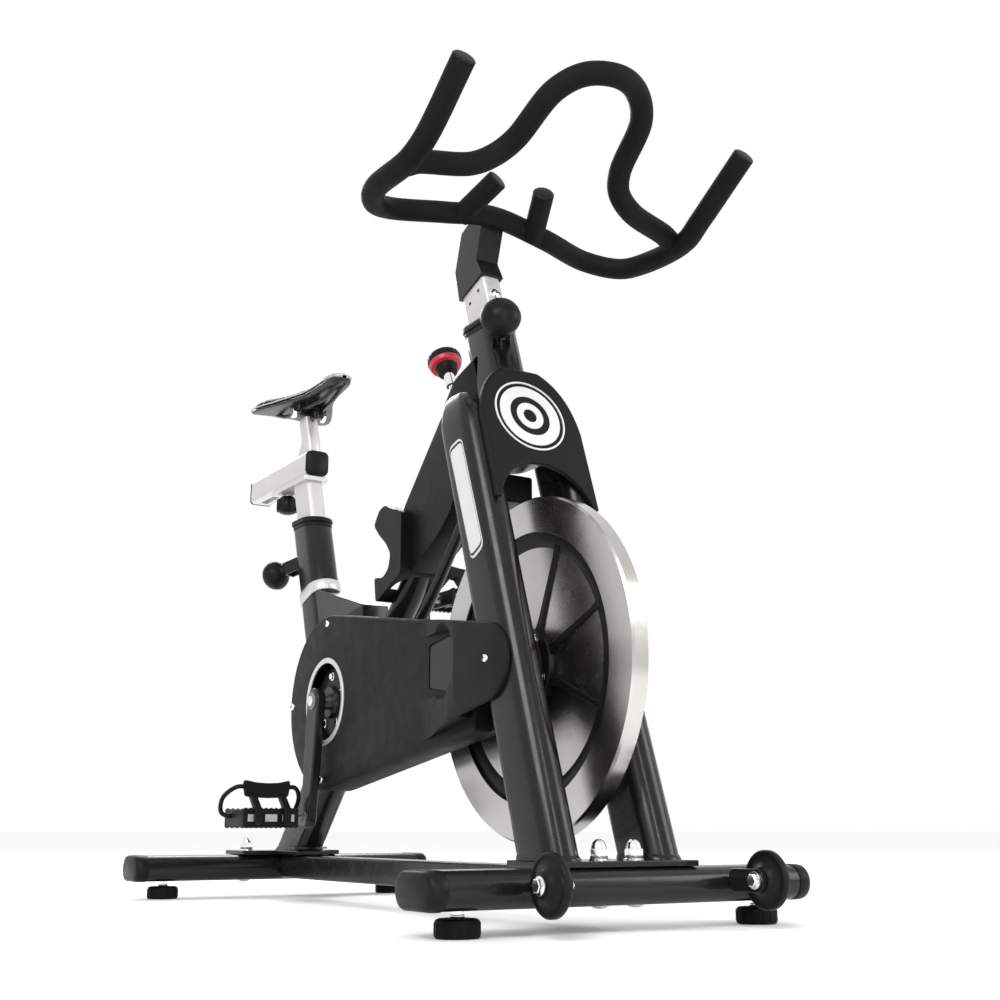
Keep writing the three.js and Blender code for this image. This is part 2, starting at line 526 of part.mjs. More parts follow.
// ---------------------------------------------------------------- saddle group
function makeSaddleGroup() {
  const top = SLIDER_Z0 - 8;
  const post = leaning(chamfered(POST_W, POST_D, 5), 0, SEAT_Y0, SEAT_Z0, SEAT_POST_FOOT, top);
  const shelf = box(-22, 22, SLIDER_Y0 + 2, 985, top - 1, SLIDER_Z0 - GAP);
  const threads = rodZ(5.3, 0, 962, 600, 760);
  add('seat_post', cut(join(post, shelf), threads), SILVER);
  add('slider_lock_knob', join(rodZ(18, 0, 962, 664, top - 3, 24), rodZ(5, 0, 962, 680, SLIDER_Z0 + 3,
    16)), PLASTIC);

  const bar = extrude(chamfered(SLIDER_W, SLIDER_H, 4), SLIDER_Y1 - SLIDER_Y0 - 5).rotateX(Math.PI / 2)
    .translate(0, SLIDER_Y1, SLIDER_Z0 + SLIDER_H / 2);
  const slot = box(-6.5, 6.5, 950, 1076, SLIDER_Z0 - 5, SLIDER_Z0 + 7);
  const [footY, headY] = [864, 884];
  const stalk = cut(swept(round(12, 12), [[0, footY - 2, SLIDER_Z0 + SLIDER_H - 6], [0, footY + 6, 775],
    [0, headY + 2, CLAMP_Z0 + 8]], 4), box(-40, 40, 800, 960, CLAMP_Z0 - GAP, 900));
  const fillet = sideSlab(sideShape([[868, 742], [912, 742], [886, 756], [880, 790]]), -8, 8);
  add('saddle_slider', cut(join(bar, stalk, fillet), slot), SILVER);
  const plug = extrude(chamfered(SLIDER_W - 1, SLIDER_H + 2, 7), 9).rotateX(Math.PI / 2)
    .translate(0, SLIDER_Y0 + 4.7, SLIDER_Z0 + SLIDER_H / 2 + 1);
  add('slider_front_plug', plug, PLASTIC);
  const clampBody = join(box(-24, 24, headY - 17, headY + 17, CLAMP_Z0, CLAMP_Z0 + 16),
    rodX(7, -31, 31, headY, CLAMP_Z0 + 8, 12));
  const railTop = SADDLE_UNDER - GAP - RAIL_R;
  const rails = [-1, 1].map(s => swept(round(RAIL_R, 6), [[s * 6, 748, railTop], [s * 8, 800,
    CLAMP_Z0 + 14],
    [s * 9, 844, CLAMP_Z0 + 12], [s * 19, headY, CLAMP_Z0 + 12], [s * 20, 930, CLAMP_Z0 + 14], [s * 21,
      980, railTop]], 10));
  add('saddle_clamp', join(clampBody, ...rails), STEEL);

  const plan = new THREE.Shape();
  plan.moveTo(0, 733);
  plan.bezierCurveTo(30, 733, 18, 806, 38, 856);
  plan.bezierCurveTo(58, 900, 80, 935, 75, 970);
  plan.bezierCurveTo(70, 996, 30, 998, 0, 988);
  plan.bezierCurveTo(-30, 998, -70, 996, -75, 970);
  plan.bezierCurveTo(-80, 935, -58, 900, -38, 856);
  plan.bezierCurveTo(-18, 806, -30, 733, 0, 733);
  const seat = extrude(plan, 30).translate(0, 0, SADDLE_UNDER - 14);
  const nose = box(-13, 13, 744, 860, 800, SADDLE_UNDER);
  const hollow = box(-27, 27, 850, 984, 800, SADDLE_UNDER);
  add('saddle', cut(seat, hollow, nose), RUBBER);
}

// ---------------------------------------------------------------- handlebar
// the two bent tubes are given by half of their centre line, mirrored about the middle plane
const mirrored = (half, middle) => [...half.map(([x, y, z]) => [-x, y, z]), middle,
  ...half.slice().reverse()];
const BAR_LINE = mirrored([[216, -26, 974], [215, 65, 917], [218, 100, 902], [218, 193, 904], [202, 230,
  906], [161, 261, 920],
  [81, 249, 930]], [0, 256, 947]);
const LOOP_LINE = mirrored([[210, 122, 907], [197, 119, 913], [128, 105, 924], [99, 94, 940], [83, 71,
  956], [68, 4, 995],
  [40, -24, 1012]], [0, -39, 1014]);
const barTube = r => swept(round(r, 8), BAR_LINE, 40);
function makeHandlebar() {
  const neckShape = sideShape([[259, neckJoint(259)], [321, neckJoint(321)], [333, 887], [316, 941], [296,
    949], [262, 958],
    [250, 938], [259, 927], [274, 886]]);
  const neck = cut(sideSlab(neckShape, -18, 18), barTube(BAR_R + GAP));
  add('gooseneck', neck, PAINT);
  const stubs = [-1, 1].map(s => swept(round(BAR_R, 8), [[s * 61, 248, 928], [s * 38, 186, 963]], 1));
  add('handlebar_bar', join(barTube(BAR_R), ...stubs), RUBBER);
  add('handlebar_loop', cut(swept(round(BAR_R, 8), LOOP_LINE, 32), barTube(BAR_R + GAP)), RUBBER);
}

// ---------------------------------------------------------------- brake and transport wheels
function makeBrake() {
  const padFace = WHEEL_R + PAD_GAP;
  const rod = join(rodClear(5, padFace + 12 + GAP, KNOB_REACH - 20, 12), rodClear(8, KNOB_REACH - 46,
    KNOB_REACH - 20, 12));
  add('brake_rod', rod, CHROME);
  const pad = cut(rodClear(11, WHEEL_R, padFace + 12, 16), turnedX([[-20, 0], [-20, padFace], [20,
    padFace], [20, 0]],
    AXLE_Y, AXLE_Z, 96));
  add('brake_pad', pad, RUBBER);
  const knob = join(rodClear(25, KNOB_REACH - 8, KNOB_REACH + 14, 22), rodClear(11, KNOB_REACH - 19.6,
    KNOB_REACH - 7, 16, 20));
  add('resistance_knob', knob, RED);
}
function makeTransport() {
  for (const [side, s] of [['right', -1], ['left', 1]]) {
    const [hubR, boreR, rimHalf] = [14, 6.4, 4];
    const profile = [[-11, boreR], [-11, hubR], [-rimHalf, 24], [-rimHalf, TRANSPORT_R], [rimHalf,
      TRANSPORT_R], [rimHalf, 24],
      [11, hubR], [11, boreR], [-11, boreR]].map(([x, r]) => [x + s * TRANSPORT_X, r]);
    add(`transport_wheel_${side}`, turnedX(profile, TRANSPORT_Y, TRANSPORT_Z, 20), PLASTIC);
    const arm = s * TRANSPORT_X - s * 15.5;
    const bracket = join(box(arm - 3, arm + 3, TRANSPORT_Y - 12, -STAB_D / 2 - GAP, TRANSPORT_Z - 12,
      TRANSPORT_Z + 10),
      rodX(6, Math.min(arm, arm + s * 30), Math.max(arm, arm + s * 30), TRANSPORT_Y, TRANSPORT_Z, 16));
    add(`wheel_bracket_${side}`, bracket, PAINT);
  }
}

makeBase();
makeFork();
makePins();
makeRearFrame();
makeCovers();
makeGuard();
makeDrive();
makeCranks();
makeSaddleGroup();
makeHandlebar();
makeBrake();
makeTransport();

const FRONT_Y = TRANSPORT_Y - TRANSPORT_R;
bike.position.y = -(FRONT_Y + SLIDER_Y1) / 2;
bike.rotation.set(0, 0, 0);
export default bike;
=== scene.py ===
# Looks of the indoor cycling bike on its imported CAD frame.
# Shapes are written in millimetres in the bike's layout, where y runs back from the front feet row;
# place() turns them into the frame's metres. The rider faces -Y, the drive side is -X.
import math
import bpy
import bmesh
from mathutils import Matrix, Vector


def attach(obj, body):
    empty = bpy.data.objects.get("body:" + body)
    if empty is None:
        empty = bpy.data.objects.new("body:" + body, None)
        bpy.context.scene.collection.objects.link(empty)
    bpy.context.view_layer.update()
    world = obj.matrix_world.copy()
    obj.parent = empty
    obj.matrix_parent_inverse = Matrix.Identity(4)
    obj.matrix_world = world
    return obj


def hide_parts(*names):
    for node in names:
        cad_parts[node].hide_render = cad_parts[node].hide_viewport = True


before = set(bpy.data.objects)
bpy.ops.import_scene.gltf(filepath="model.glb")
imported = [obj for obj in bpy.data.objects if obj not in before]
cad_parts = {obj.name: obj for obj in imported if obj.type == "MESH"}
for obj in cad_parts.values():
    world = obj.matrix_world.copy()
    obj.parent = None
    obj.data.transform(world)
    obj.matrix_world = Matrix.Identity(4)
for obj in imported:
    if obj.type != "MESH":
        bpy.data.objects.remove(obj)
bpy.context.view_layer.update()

ACROSS, UP = (1, 0, 0), (0, 0, 1)
SIDES = (("right", -1), ("left", 1))
LAYOUT_Y = 490.0               # the layout's y at the frame's origin
SLOPE = 0.3346                 # how far back the fork and the seat tube lean, per mm of height
LEAN = math.atan(SLOPE)
AXLE = (158.0, 300.0)          # (y, z) of the flywheel's axis
CRANK = (617.0, 291.0)         # (y, z) of the crank's axis
AT_AXLE, AT_CRANK = ((0, *AXLE), ACROSS), ((0, *CRANK), ACROSS)   # origin and direction for lathe()
CRANK_L = 170.0
CRANK_TILT = math.radians(5)
PEDAL_X = 158.0
STAB_MID = 46.5                # height of the stabilizers' middle
FOOT_X = 201.0
PLATE_Z = (66.3, 73)           # bottom and top of the mount plates
FORK_X = 69.0
HEAD_TOP, SEAT_TOP = 778, 614  # tops of the head tube and the seat tube
HEAD_POST_FOOT, SEAT_POST_FOOT = 620, 464
HEAD_EAR, SEAT_EAR = 42, 52    # how far the pop-pin brackets stand out from their pins' base
HEAD_PIN = (Vector((0, 235.2, 742)), Vector((-0.53, -0.804, 0.269)).normalized())
ROD_WAY = Vector((0, 390 - AXLE[0], 768 - AXLE[1]))   # the brake rod's line, from the axle to the knob
GRIP_R = 15.0
NOISE_LOW, NOISE_HIGH = 0.3, 0.7      # the part of a noise's range that the materials spread out
BROAD_SCALE, SMUDGE_SCALE = 14, 45    # noise sizes for colour and for roughness
RING_PHASE = 5200                     # radians of the turned rings' wave per metre of radius


def along_fork(z):
    return 30 + SLOPE * (z - 70)


def along_seat(z):
    return 831.4 + SLOPE * (z - 563.7)


def place(p):
    return Vector((p[0] / 1000, (p[1] - LAYOUT_Y) / 1000, p[2] / 1000))


# ---------------------------------------------------------------- materials
def feed(tree, made, *inputs):
    """sets a shader node's inputs, each to a value or from another node's output"""
    for key, value in inputs:
        if isinstance(value, bpy.types.NodeSocket):
            tree.links.new(value, made.inputs[key])
        else:
            made.inputs[key].default_value = value
    return made


def node(tree, kind, *inputs, **settings):
    made = tree.nodes.new("ShaderNode" + kind)
    for key, value in settings.items():
        setattr(made, key, value)
    return feed(tree, made, *inputs)


def noise(tree, scale, stretch):
    coords = node(tree, "TexCoord").outputs["Object"]
    mapped = node(tree, "Mapping", ("Vector", coords), ("Scale", stretch)).outputs["Vector"]
    return node(tree, "TexNoise", ("Vector", mapped), ("Scale", scale), ("Detail", 3.0),
                ("Roughness", 0.55)).outputs["Fac"]


def remap(tree, value, low, high):
    return node(tree, "MapRange", ("Value", value), ("From Min", NOISE_LOW), ("From Max", NOISE_HIGH),
                ("To Min", low), ("To Max", high)).outputs["Result"]


def blend_colours(tree, value, first, second):
    ramp = node(tree, "ValToRGB", ("Fac", value))
    for stop, spot, colour in zip(ramp.color_ramp.elements, (NOISE_LOW, NOISE_HIGH), (first, second)):
        stop.position = spot
        stop.color = (*colour, 1)
    return ramp.outputs["Color"]


def radius_from_axle(tree):
    """distance in metres from the flywheel's axis"""
    coords = node(tree, "TexCoord").outputs["Object"]
    shift = node(tree, "VectorMath", (0, coords), (1, place((0, *AXLE))), operation="SUBTRACT").outputs[0]
    flat = node(tree, "VectorMath", (0, shift), (1, (0, 1, 1)), operation="MULTIPLY").outputs[0]
    return node(tree, "VectorMath", (0, flat), operation="LENGTH").outputs["Value"]


def finish(name, colour, rough, metal=0.0, vary=0.25, rough_vary=0.06, grain=900, grain_depth=0.00004,
           coat=0.0, shine=0.5, stretch=(1, 1, 1), turned=False):
    """a material with varied colour, smudged roughness and a fine grain, with lathe rings if turned"""
    mat = bpy.data.materials.new(name)
    mat.use_nodes = True
    tree = mat.node_tree
    dark, light = (tuple(min(1, c * k) for c in colour) for k in (1 - vary, 1 + vary))
    tint = blend_colours(tree, noise(tree, BROAD_SCALE, stretch), dark, light)
    smudge = noise(tree, SMUDGE_SCALE, stretch)
    fine = noise(tree, grain, stretch)
    if turned:
        radius = radius_from_axle(tree)
        rings = node(tree, "Math", (0, radius), (1, RING_PHASE), operation="MULTIPLY").outputs[0]
        wave = node(tree, "Math", (0, rings), operation="SINE").outputs[0]
        fine = node(tree, "Math", (0, wave), (1, fine), operation="ADD").outputs[0]
    bump = node(tree, "Bump", ("Strength", 0.6), ("Distance", grain_depth), ("Height", fine))
    feed(tree, tree.nodes["Principled BSDF"], ("Metallic", metal), ("Coat Weight", coat),
         ("Coat Roughness", 0.08), ("Specular IOR Level", shine), ("Base Color", tint),
         ("Roughness", remap(tree, smudge, max(0.02, rough - rough_vary), rough + rough_vary)),
         ("Normal", bump.outputs["Normal"]))
    return mat


PAINT = finish("gloss_black_paint", (0.0075, 0.0072, 0.0068), 0.25, vary=0.15, coat=0.12, shine=0.2,
               grain=260, grain_depth=0.00006)
PLASTIC = finish("moulded_black_plastic", (0.0060, 0.0059, 0.0060), 0.40, shine=0.12, grain=2400,
                 grain_depth=0.00005)
GUARD = finish("guard_plastic", (0.0082, 0.0078, 0.0072), 0.5, shine=0.1, grain=2200, grain_depth=0.00006,
               vary=0.12)
SHROUD = finish("shroud_plastic", (0.0060, 0.0059, 0.0061), 0.46, shine=0.1, grain=2400, grain_depth=0.00005,
                vary=0.1)
RUBBER = finish("foam_rubber", (0.0052, 0.0051, 0.0050), 0.6, shine=0.08, grain=1500, grain_depth=0.00022,
                vary=0.3)
FOOT = finish("foot_rubber", (0.0035, 0.0035, 0.0038), 0.6, shine=0.1, grain=1200, grain_depth=0.0001)
SILVER = finish("satin_silver", (0.56, 0.55, 0.535), 0.36, metal=0.6, vary=0.05, stretch=(1, 1, 0.15),
                grain=700)
BADGE = finish("badge_silver", (0.56, 0.55, 0.55), 0.42, metal=0.3, vary=0.06)
CHROME = finish("bright_chrome", (0.83, 0.83, 0.84), 0.10, metal=1.0, vary=0.03, rough_vary=0.04)
RIM = finish("polished_rim", (0.52, 0.505, 0.485), 0.20, metal=1.0, vary=0.04, rough_vary=0.02, turned=True,
             grain_depth=0.00002)
WEB = finish("polished_web", (0.47, 0.455, 0.435), 0.26, metal=1.0, vary=0.05, rough_vary=0.02, turned=True,
             grain_depth=0.00002)
# black for the flywheel's ribs, channel and hub, the spider cover and a plate's line; also painted shade in
# the post's holes and the screws' cross recesses
BLACK_AND_SHADE = finish("black_finish_and_painted_shade", (0.006, 0.0055, 0.005), 0.38, shine=0.15, vary=0.3)
STEEL = finish("dark_steel", (0.20, 0.20, 0.20), 0.35, metal=0.9, vary=0.2, grain=1300)
RED = finish("knob_red", (0.42, 0.02, 0.035), 0.30, vary=0.15)
SEAT_SKIN = finish("saddle_vinyl", (0.008, 0.0078, 0.0076), 0.36, shine=0.22, grain=1100,
                   grain_depth=0.00025, vary=0.3)
SEAT_BASE = finish("saddle_shell", (0.016, 0.016, 0.0165), 0.3, shine=0.35, grain=900, vary=0.15)
# grey trim for the saddle's nose cap and the pedals' plates, also the painted highlight along the saddle's
# edge
TRIM_AND_HIGHLIGHT = finish("saddle_trim_and_painted_highlight", (0.40, 0.40, 0.40), 0.3, metal=0.4, vary=0.05)


# ---------------------------------------------------------------- mesh tools
def link(name, data):
    """a new object in the scene's collection"""
    obj = bpy.data.objects.new(name, data)
    bpy.context.scene.collection.objects.link(obj)
    return obj


def shade(mesh, sharp):
    """smooth shading, but for edges over an angle in degrees"""
    mesh.polygons.foreach_set("use_smooth", [True] * len(mesh.polygons))
    mesh.set_sharp_from_angle(angle=math.radians(sharp))


def solid(name, verts, faces, mat, sharp=40):
    mesh = bpy.data.meshes.new(name)
    mesh.from_pydata([place(v) for v in verts], [], faces)
    work = bmesh.new()
    work.from_mesh(mesh)
    bmesh.ops.recalc_face_normals(work, faces=work.faces)
    work.to_mesh(mesh)
    work.free()
    shade(mesh, sharp)
    mesh.materials.append(mat)
    return link(name, mesh)


def bevelled(obj, width, segments=3, angle=32):
    edge = obj.modifiers.new("edge", "BEVEL")
    edge.width = width / 1000
    edge.segments = segments
    edge.limit_method = "ANGLE"
    edge.angle_limit = math.radians(angle)
    edge.harden_normals = True
    return obj


def give(obj, body, *nodes):
    """the piece rides on a body, and may stand for CAD nodes, which are hidden"""
    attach(obj, body)
    if nodes:
        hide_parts(*nodes)
    return obj


def loft(name, rings, mat, sharp=40, closed=False):
    """a skin over rings of points, capped at its ends, or closed from the last ring to the first"""
    count = len(rings[0])
    verts = [v for ring in rings for v in ring]
    faces = []
    for i in range(len(rings) - 1):
        for k in range(count):
            a, b = i * count + k, i * count + (k + 1) % count
            faces.append((a, b, b + count, a + count))
    if closed:
        last = (len(rings) - 1) * count
        faces += [(last + k, last + (k + 1) % count, (k + 1) % count, k) for k in range(count)]
    else:
        faces += [tuple(range(count)), tuple(range(len(verts) - count, len(verts)))]
    return solid(name, verts, faces, mat, sharp)


def join(name, *objs):
    """one object from several, keeping each one's material"""
    work = bmesh.new()
    mesh = bpy.data.meshes.new(name)
    for obj in objs:
        final = obj.evaluated_get(bpy.context.evaluated_depsgraph_get()).to_mesh()
        base = len(mesh.materials)
        for mat in obj.data.materials:
            mesh.materials.append(mat)
        start = len(work.faces)
        work.from_mesh(final)
        work.faces.ensure_lookup_table()
        for face in work.faces[start:]:
            face.material_index += base
        obj.to_mesh_clear()
    work.to_mesh(mesh)
    work.free()
    for obj in objs:
        bpy.data.objects.remove(obj)
    return link(name, mesh)


def boolean(obj, cutter, how="DIFFERENCE"):
    step = obj.modifiers.new("step", "BOOLEAN")
    step.operation = how
    step.solver = "EXACT"
    step.object = cutter
    graph = bpy.context.evaluated_depsgraph_get()
    graph.update()
    mesh = bpy.data.meshes.new_from_object(obj.evaluated_get(graph))
    obj.modifiers.clear()
    obj.data = mesh
    bpy.data.objects.remove(cutter)
    shade(mesh, 32)
    return obj


def cut(obj, *cutters):
    for cutter in cutters:
        obj = boolean(obj, cutter)
    return obj


def axes_for(direction, hint=Vector(UP)):
    w = Vector(direction).normalized()
    if abs(w.dot(hint)) > 0.95:
        hint = Vector((0, 1, 0))
    u = hint.cross(w).normalized()
    return u, w.cross(u), w


def angles(count, start=0.0):
    return [start + 2 * math.pi * k / count for k in range(count)]


def lathe(name, profile, origin, direction, mat, sides=48, sharp=40, closed=False):
    """profile holds (distance along the axis, radius)"""
    u, v, w = axes_for(direction)
    base = Vector(origin)
    rings = []
    for t, r in profile:
        r = max(r, 0.02)
        rings.append([base + w * t + (u * math.cos(a) + v * math.sin(a)) * r for a in angles(sides)])
    return loft(name, rings, mat, sharp, closed)


def slab(name, outline, x0, x1, mat):
    """an outline of (y, z) points, extruded along X"""
    return loft(name, [[(x, y, z) for y, z in outline] for x in (x0, x1)], mat, 32)


def cuboid(name, x0, x1, y0, y1, z0, z1, mat, edge=1.5):
    return bevelled(slab(name, [(y0, z0), (y1, z0), (y1, z1), (y0, z1)], x0, x1, mat), edge)


def oval(w, d, steps=14):
    """flat-oval outline, w across (x) and d long (y)"""
    points = []
    r, reach = min(w, d) / 2, abs(d - w) / 2
    for side in (1, -1):
        for i in range(steps + 1):
            t = math.pi * i / steps
            c, s = math.cos(t) * r * side, math.sin(t) * r * side + reach * side
            points.append((c, s) if w < d else (s, -c))
    return points


def chamfered(w, d, c, soft=1.6):
    """a rectangle with chamfers of c, each corner cut again by soft"""
    x, y = w / 2, d / 2
    corners = [(x, y - c), (x - c, y), (c - x, y), (-x, y - c), (-x, c - y), (c - x, -y), (x - c, -y),
               (x, c - y)]
    out = []
    for i, p in enumerate(corners):
        a, b = Vector(corners[i - 1]), Vector(corners[(i + 1) % 8])
        q = Vector(p)
        out += [tuple(q + (a - q).normalized() * soft), tuple(q + (b - q).normalized() * soft)]
    return out


def leaning(name, outline, x, line_y, z_list, mat, scale=None, sharp=40):
    """level outlines stacked along the shared lean; line_y gives the centre line's y at a z"""
    rings = []
    for i, z in enumerate(z_list):
        k = scale[i] if scale else 1.0
        rings.append([(x + px * k, line_y(z) + py * k, z) for px, py in outline])
    return loft(name, rings, mat, sharp)


def catmull(points, per=10):
    """a centripetal Catmull-Rom curve through the points"""
    pts = [Vector(p) for p in points]
    pts = [2 * pts[0] - pts[1]] + pts + [2 * pts[-1] - pts[-2]]
    mix = lambda p, q, a, b, t: p * ((b - t) / (b - a)) + q * ((t - a) / (b - a))
    out = []
    for i in range(1, len(pts) - 2):
        p0, p1, p2, p3 = pts[i - 1:i + 3]
        t0 = 0.0
        t1 = t0 + max((p1 - p0).length, 1e-6) ** 0.5
        t2 = t1 + max((p2 - p1).length, 1e-6) ** 0.5
        t3 = t2 + max((p3 - p2).length, 1e-6) ** 0.5
        for k in range(per):
            t = t1 + (t2 - t1) * k / per
            a1, a2, a3 = mix(p0, p1, t0, t1, t), mix(p1, p2, t1, t2, t), mix(p2, p3, t2, t3, t)
            out.append(mix(mix(a1, a2, t0, t2, t), mix(a2, a3, t1, t3, t), t1, t2, t))
    out.append(pts[-2])
    return out


def sweep(name, points, section, mat, per=10, straight=False):
    """a tube of a closed (u, v) section along a curve, with frames that don't twist"""
    path = [Vector(p) for p in points] if straight else catmull(points, per)
    rings = []
    u = Vector(ACROSS)
    for i, p in enumerate(path):
        tangent = (path[min(i + 1, len(path) - 1)] - path[max(i - 1, 0)]).normalized()
        u = (u - tangent * u.dot(tangent)).normalized()
        v = tangent.cross(u)
        rings.append([p + u * a + v * b for a, b in section])
    return loft(name, rings, mat, 50)


def disc(r, sides=28):
    return [(r * math.cos(a), r * math.sin(a)) for a in angles(sides)]


def belt(y1, z1, r1, y2, z2, r2, steps=40):
    """the outline round two circles and their outer tangents, the larger circle first"""
    dy, dz = y2 - y1, z2 - z1
    facing = math.atan2(dz, dy)
    opening = math.acos((r1 - r2) / math.hypot(dy, dz))
    points = []
    for i in range(steps + 1):
        t = facing + opening + (2 * math.pi - 2 * opening) * i / steps
        points.append((y1 + r1 * math.cos(t), z1 + r1 * math.sin(t)))
    for i in range(steps + 1):
        t = facing - opening + 2 * opening * i / steps
        points.append((y2 + r2 * math.cos(t), z2 + r2 * math.sin(t)))
    return points


def rounded(points, radius, steps=5):
    """a polygon with its corners rounded"""
    out = []
    count = len(points)
    for i in range(count):
        p = Vector(points[i])
        a, b = Vector(points[i - 1]) - p, Vector(points[(i + 1) % count]) - p
        r = min(radius, a.length * 0.45, b.length * 0.45)
        first, last = p + a.normalized() * r, p + b.normalized() * r
        for k in range(steps + 1):
            t = k / steps
            out.append(tuple(first * (1 - t) ** 2 + p * (2 * t * (1 - t)) + last * t ** 2))
    return out


def mirrored(half, middle):
    return [(-x, y, z) for x, y, z in half] + [middle] + list(reversed(half))


def between(table, t):
    """straight-line interpolation through (t, value) pairs"""
    for (a, u), (b, v) in zip(table, table[1:]):
        if t <= b:
            return u + (v - u) * (t - a) / (b - a)
    return table[-1][1]


# ---------------------------------------------------------------- fasteners
def hex_bolt(name, origin, direction, across, height, body, washer=0.0):
    r = across / 2 / math.cos(math.pi / 6)
    profile = [(0, r), (height * 0.85, r), (height, r * 0.86)]
    parts = [lathe(name + "_head", profile, origin, direction, CHROME, 6, 20)]
    if washer:
        profile = [(-0.6, washer), (0.9, washer), (1.2, washer - 0.5)]
        parts.append(lathe(name + "_washer", profile, origin, direction, CHROME, 28))
    return give(join(name, *parts), body)


def acorn_nut(name, origin):
    washer = lathe(name + "_w", [(0, 11.5), (1.6, 11.5), (2, 11)], origin, UP, CHROME, 28)
    spring = lathe(name + "_s", [(2, 10), (4.2, 10)], origin, UP, STEEL, 28)
    nut = lathe(name + "_n", [(4.2, 10.2), (5, 10.8), (11.5, 10.8), (12.4, 10)], origin, UP, CHROME, 6, 20)
    profile = [(12, 8.6), (15, 8.3), (18.5, 7.0), (21, 4.8), (22.6, 2.2), (23, 0)]
    dome = lathe(name + "_d", profile, origin, UP, CHROME, 28, 60)
    return give(join(name, washer, spring, nut, dome), "frame")


def screw(name, origin, direction, r, body):
    """a pan-head screw, its cross recess shown as a dark raised cross of painted shade"""
    profile = [(0, r), (r * 0.35, r * 0.92), (r * 0.62, r * 0.6), (r * 0.7, 0)]
    head = lathe(name + "_h", profile, origin, direction, CHROME, 24, 60)
    u, v, w = axes_for(direction)
    cross = []
    base = Vector(origin) + w * r * 0.6
    for a, b in ((u, v), (v, u)):
        ring = [base + a * (s * r * 0.5) + b * (t * r * 0.1) for s, t in ((-1, -1), (1, -1), (1, 1), (-1, 1))]
        cross.append(loft(name + "_x", [ring, [p + w * r * 0.14 for p in ring]], BLACK_AND_SHADE, 20))
    return give(join(name, head, *cross), body)


# ---------------------------------------------------------------- base
def make_base():
    section = [(b, a) for a, b in oval(39, 80, 16)]
    for end, y, half in (("front", 0, 254), ("rear", 922, 257)):
        reach = half - 20
        ring = lambda x, k=1.0: [(x, y + p * k, STAB_MID + q * k) for p, q in section]
        rings = [ring(x) for x in (-reach, 1 - reach, reach - 1, reach)]
        give(loft(end + "_stabilizer_tube", rings, PAINT), "frame", end + "_stabilizer")
        steps = [(reach + 0.3, 1.02), (reach + 1.5, 1.035), (half - 9, 1.03), (half - 4, 1.0),
                 (half - 1.4, 0.93), (half, 0.82)]
        for side, s in SIDES:
            cap = loft(f"{end}_cap_{side}", [ring(s * x, k) for x, k in steps], PLASTIC, 60)
            give(cap, "frame", f"{end}_end_cap_{side}")
            spot = Vector((s * FOOT_X, y, 0))
            profile = [(0, 21.5), (1.5, 23.3), (14, 23.5), (17.5, 22.6), (19, 20)]
            pad = lathe("pad", profile, spot, UP, FOOT, 44)
            stem = lathe("stem", [(18, 6.5), (20, 7.5), (22, 7.5), (23, 6), (26.8, 6)], spot, UP, CHROME, 24)
            ribs = [lathe("rib", [(3, 1.1), (15.5, 1.1)], spot + Vector((dx, dy, 0)), UP, FOOT, 8)
                    for dx, dy in disc(23, 16)]
            foot = f"{end}_foot_{side}"
            give(join(f"{end}_foot_pad_{side}", pad, stem, *ribs), foot, foot)
    give(cuboid("centre_beam", -20, 20, 40.3, 881.7, 30, 65, PAINT, 3), "frame", "base_beam")
    give(cuboid("front_mount_plate", -92, 92, -30, 80, *PLATE_Z, PAINT), "frame", "front_plate")
    tongue = cuboid("tongue", -28, 28, 800, 883, *PLATE_Z, PAINT)
    main = cuboid("main", -85, 85, 882, 962, *PLATE_Z, PAINT)
    give(join("rear_mount_plate", main, tongue), "frame", "rear_plate")
    for i, (x, y) in enumerate(((-24, 0), (24, 0), (-67, 915), (67, 915))):
        acorn_nut(f"acorn_nut_{i + 1}", (x, y, PLATE_Z[1]))
    profile = [(0, 10), (1.5, 9.6), (3.5, 6.5), (4.4, 0)]
    for i, (x, y) in enumerate(((-24, 0), (24, 0), (-67, 922), (67, 922))):
        dome = lathe(f"carriage_head_{i + 1}", profile, (x, y, 27.2), (0, 0, -1), CHROME, 28, 60)
        give(dome, "frame")
    profile = [(-11, 6.4), (-11, 12.5), (-9.5, 14.5), (-7, 16.5), (-4.2, 23), (-3.6, 27), (-4.2, 28.5),
               (-4, 31),
               (-2.6, 32), (2.6, 32), (4, 31), (4.2, 28.5), (3.6, 27), (4.2, 23), (7, 16.5), (9.5, 14.5),
               (11, 12.5), (11, 6.4)]
    for side, s in SIDES:
        x, y, z = s * 143, -82, 52
        wheel = lathe(f"transport_roller_{side}", profile, (x, y, z), ACROSS, PLASTIC, 56, 50, closed=True)
        give(wheel, f"transport_wheel_{side}", f"transport_wheel_{side}")
        arm = x - s * 15.5
        tab = slab("tab", rounded([(-95, 39), (-40, 39), (-40, 64), (-95, 64)], 12), arm - 3, arm + 3, PAINT)
        pin = lathe("pin", [(-16, 6), (16, 6)], (x, y, z), ACROSS, STEEL, 24)
        give(join(f"roller_bracket_{side}", bevelled(tab, 1), pin), "frame", f"wheel_bracket_{side}")
        hex_bolt(f"roller_bolt_outer_{side}", (x + s * 13, y, z), (s, 0, 0), 13, 5.5, "frame", 9.5)
        hex_bolt(f"roller_bolt_inner_{side}", (arm - s * 3, y, z), (-s, 0, 0), 13, 5.5, "frame", 9.5)


# ---------------------------------------------------------------- fork and head
# how far a fork leg's rounded top reaches ahead of and behind its centre line, by height
NOSE_FRONT = [(73, 42.5), (618, 42.5), (632, 41), (645, 36), (653, 29), (658, 22), (661.5, 8)]
NOSE_BACK = [(73, 42.5), (600, 42.5), (616, 42), (632, 39), (645, 33), (653, 25), (658, 16), (661.5, 2)]


def post_joint(y):
    """the height at which the handlebar's post meets the gooseneck"""
    return 853 - SLOPE * (y - 276)


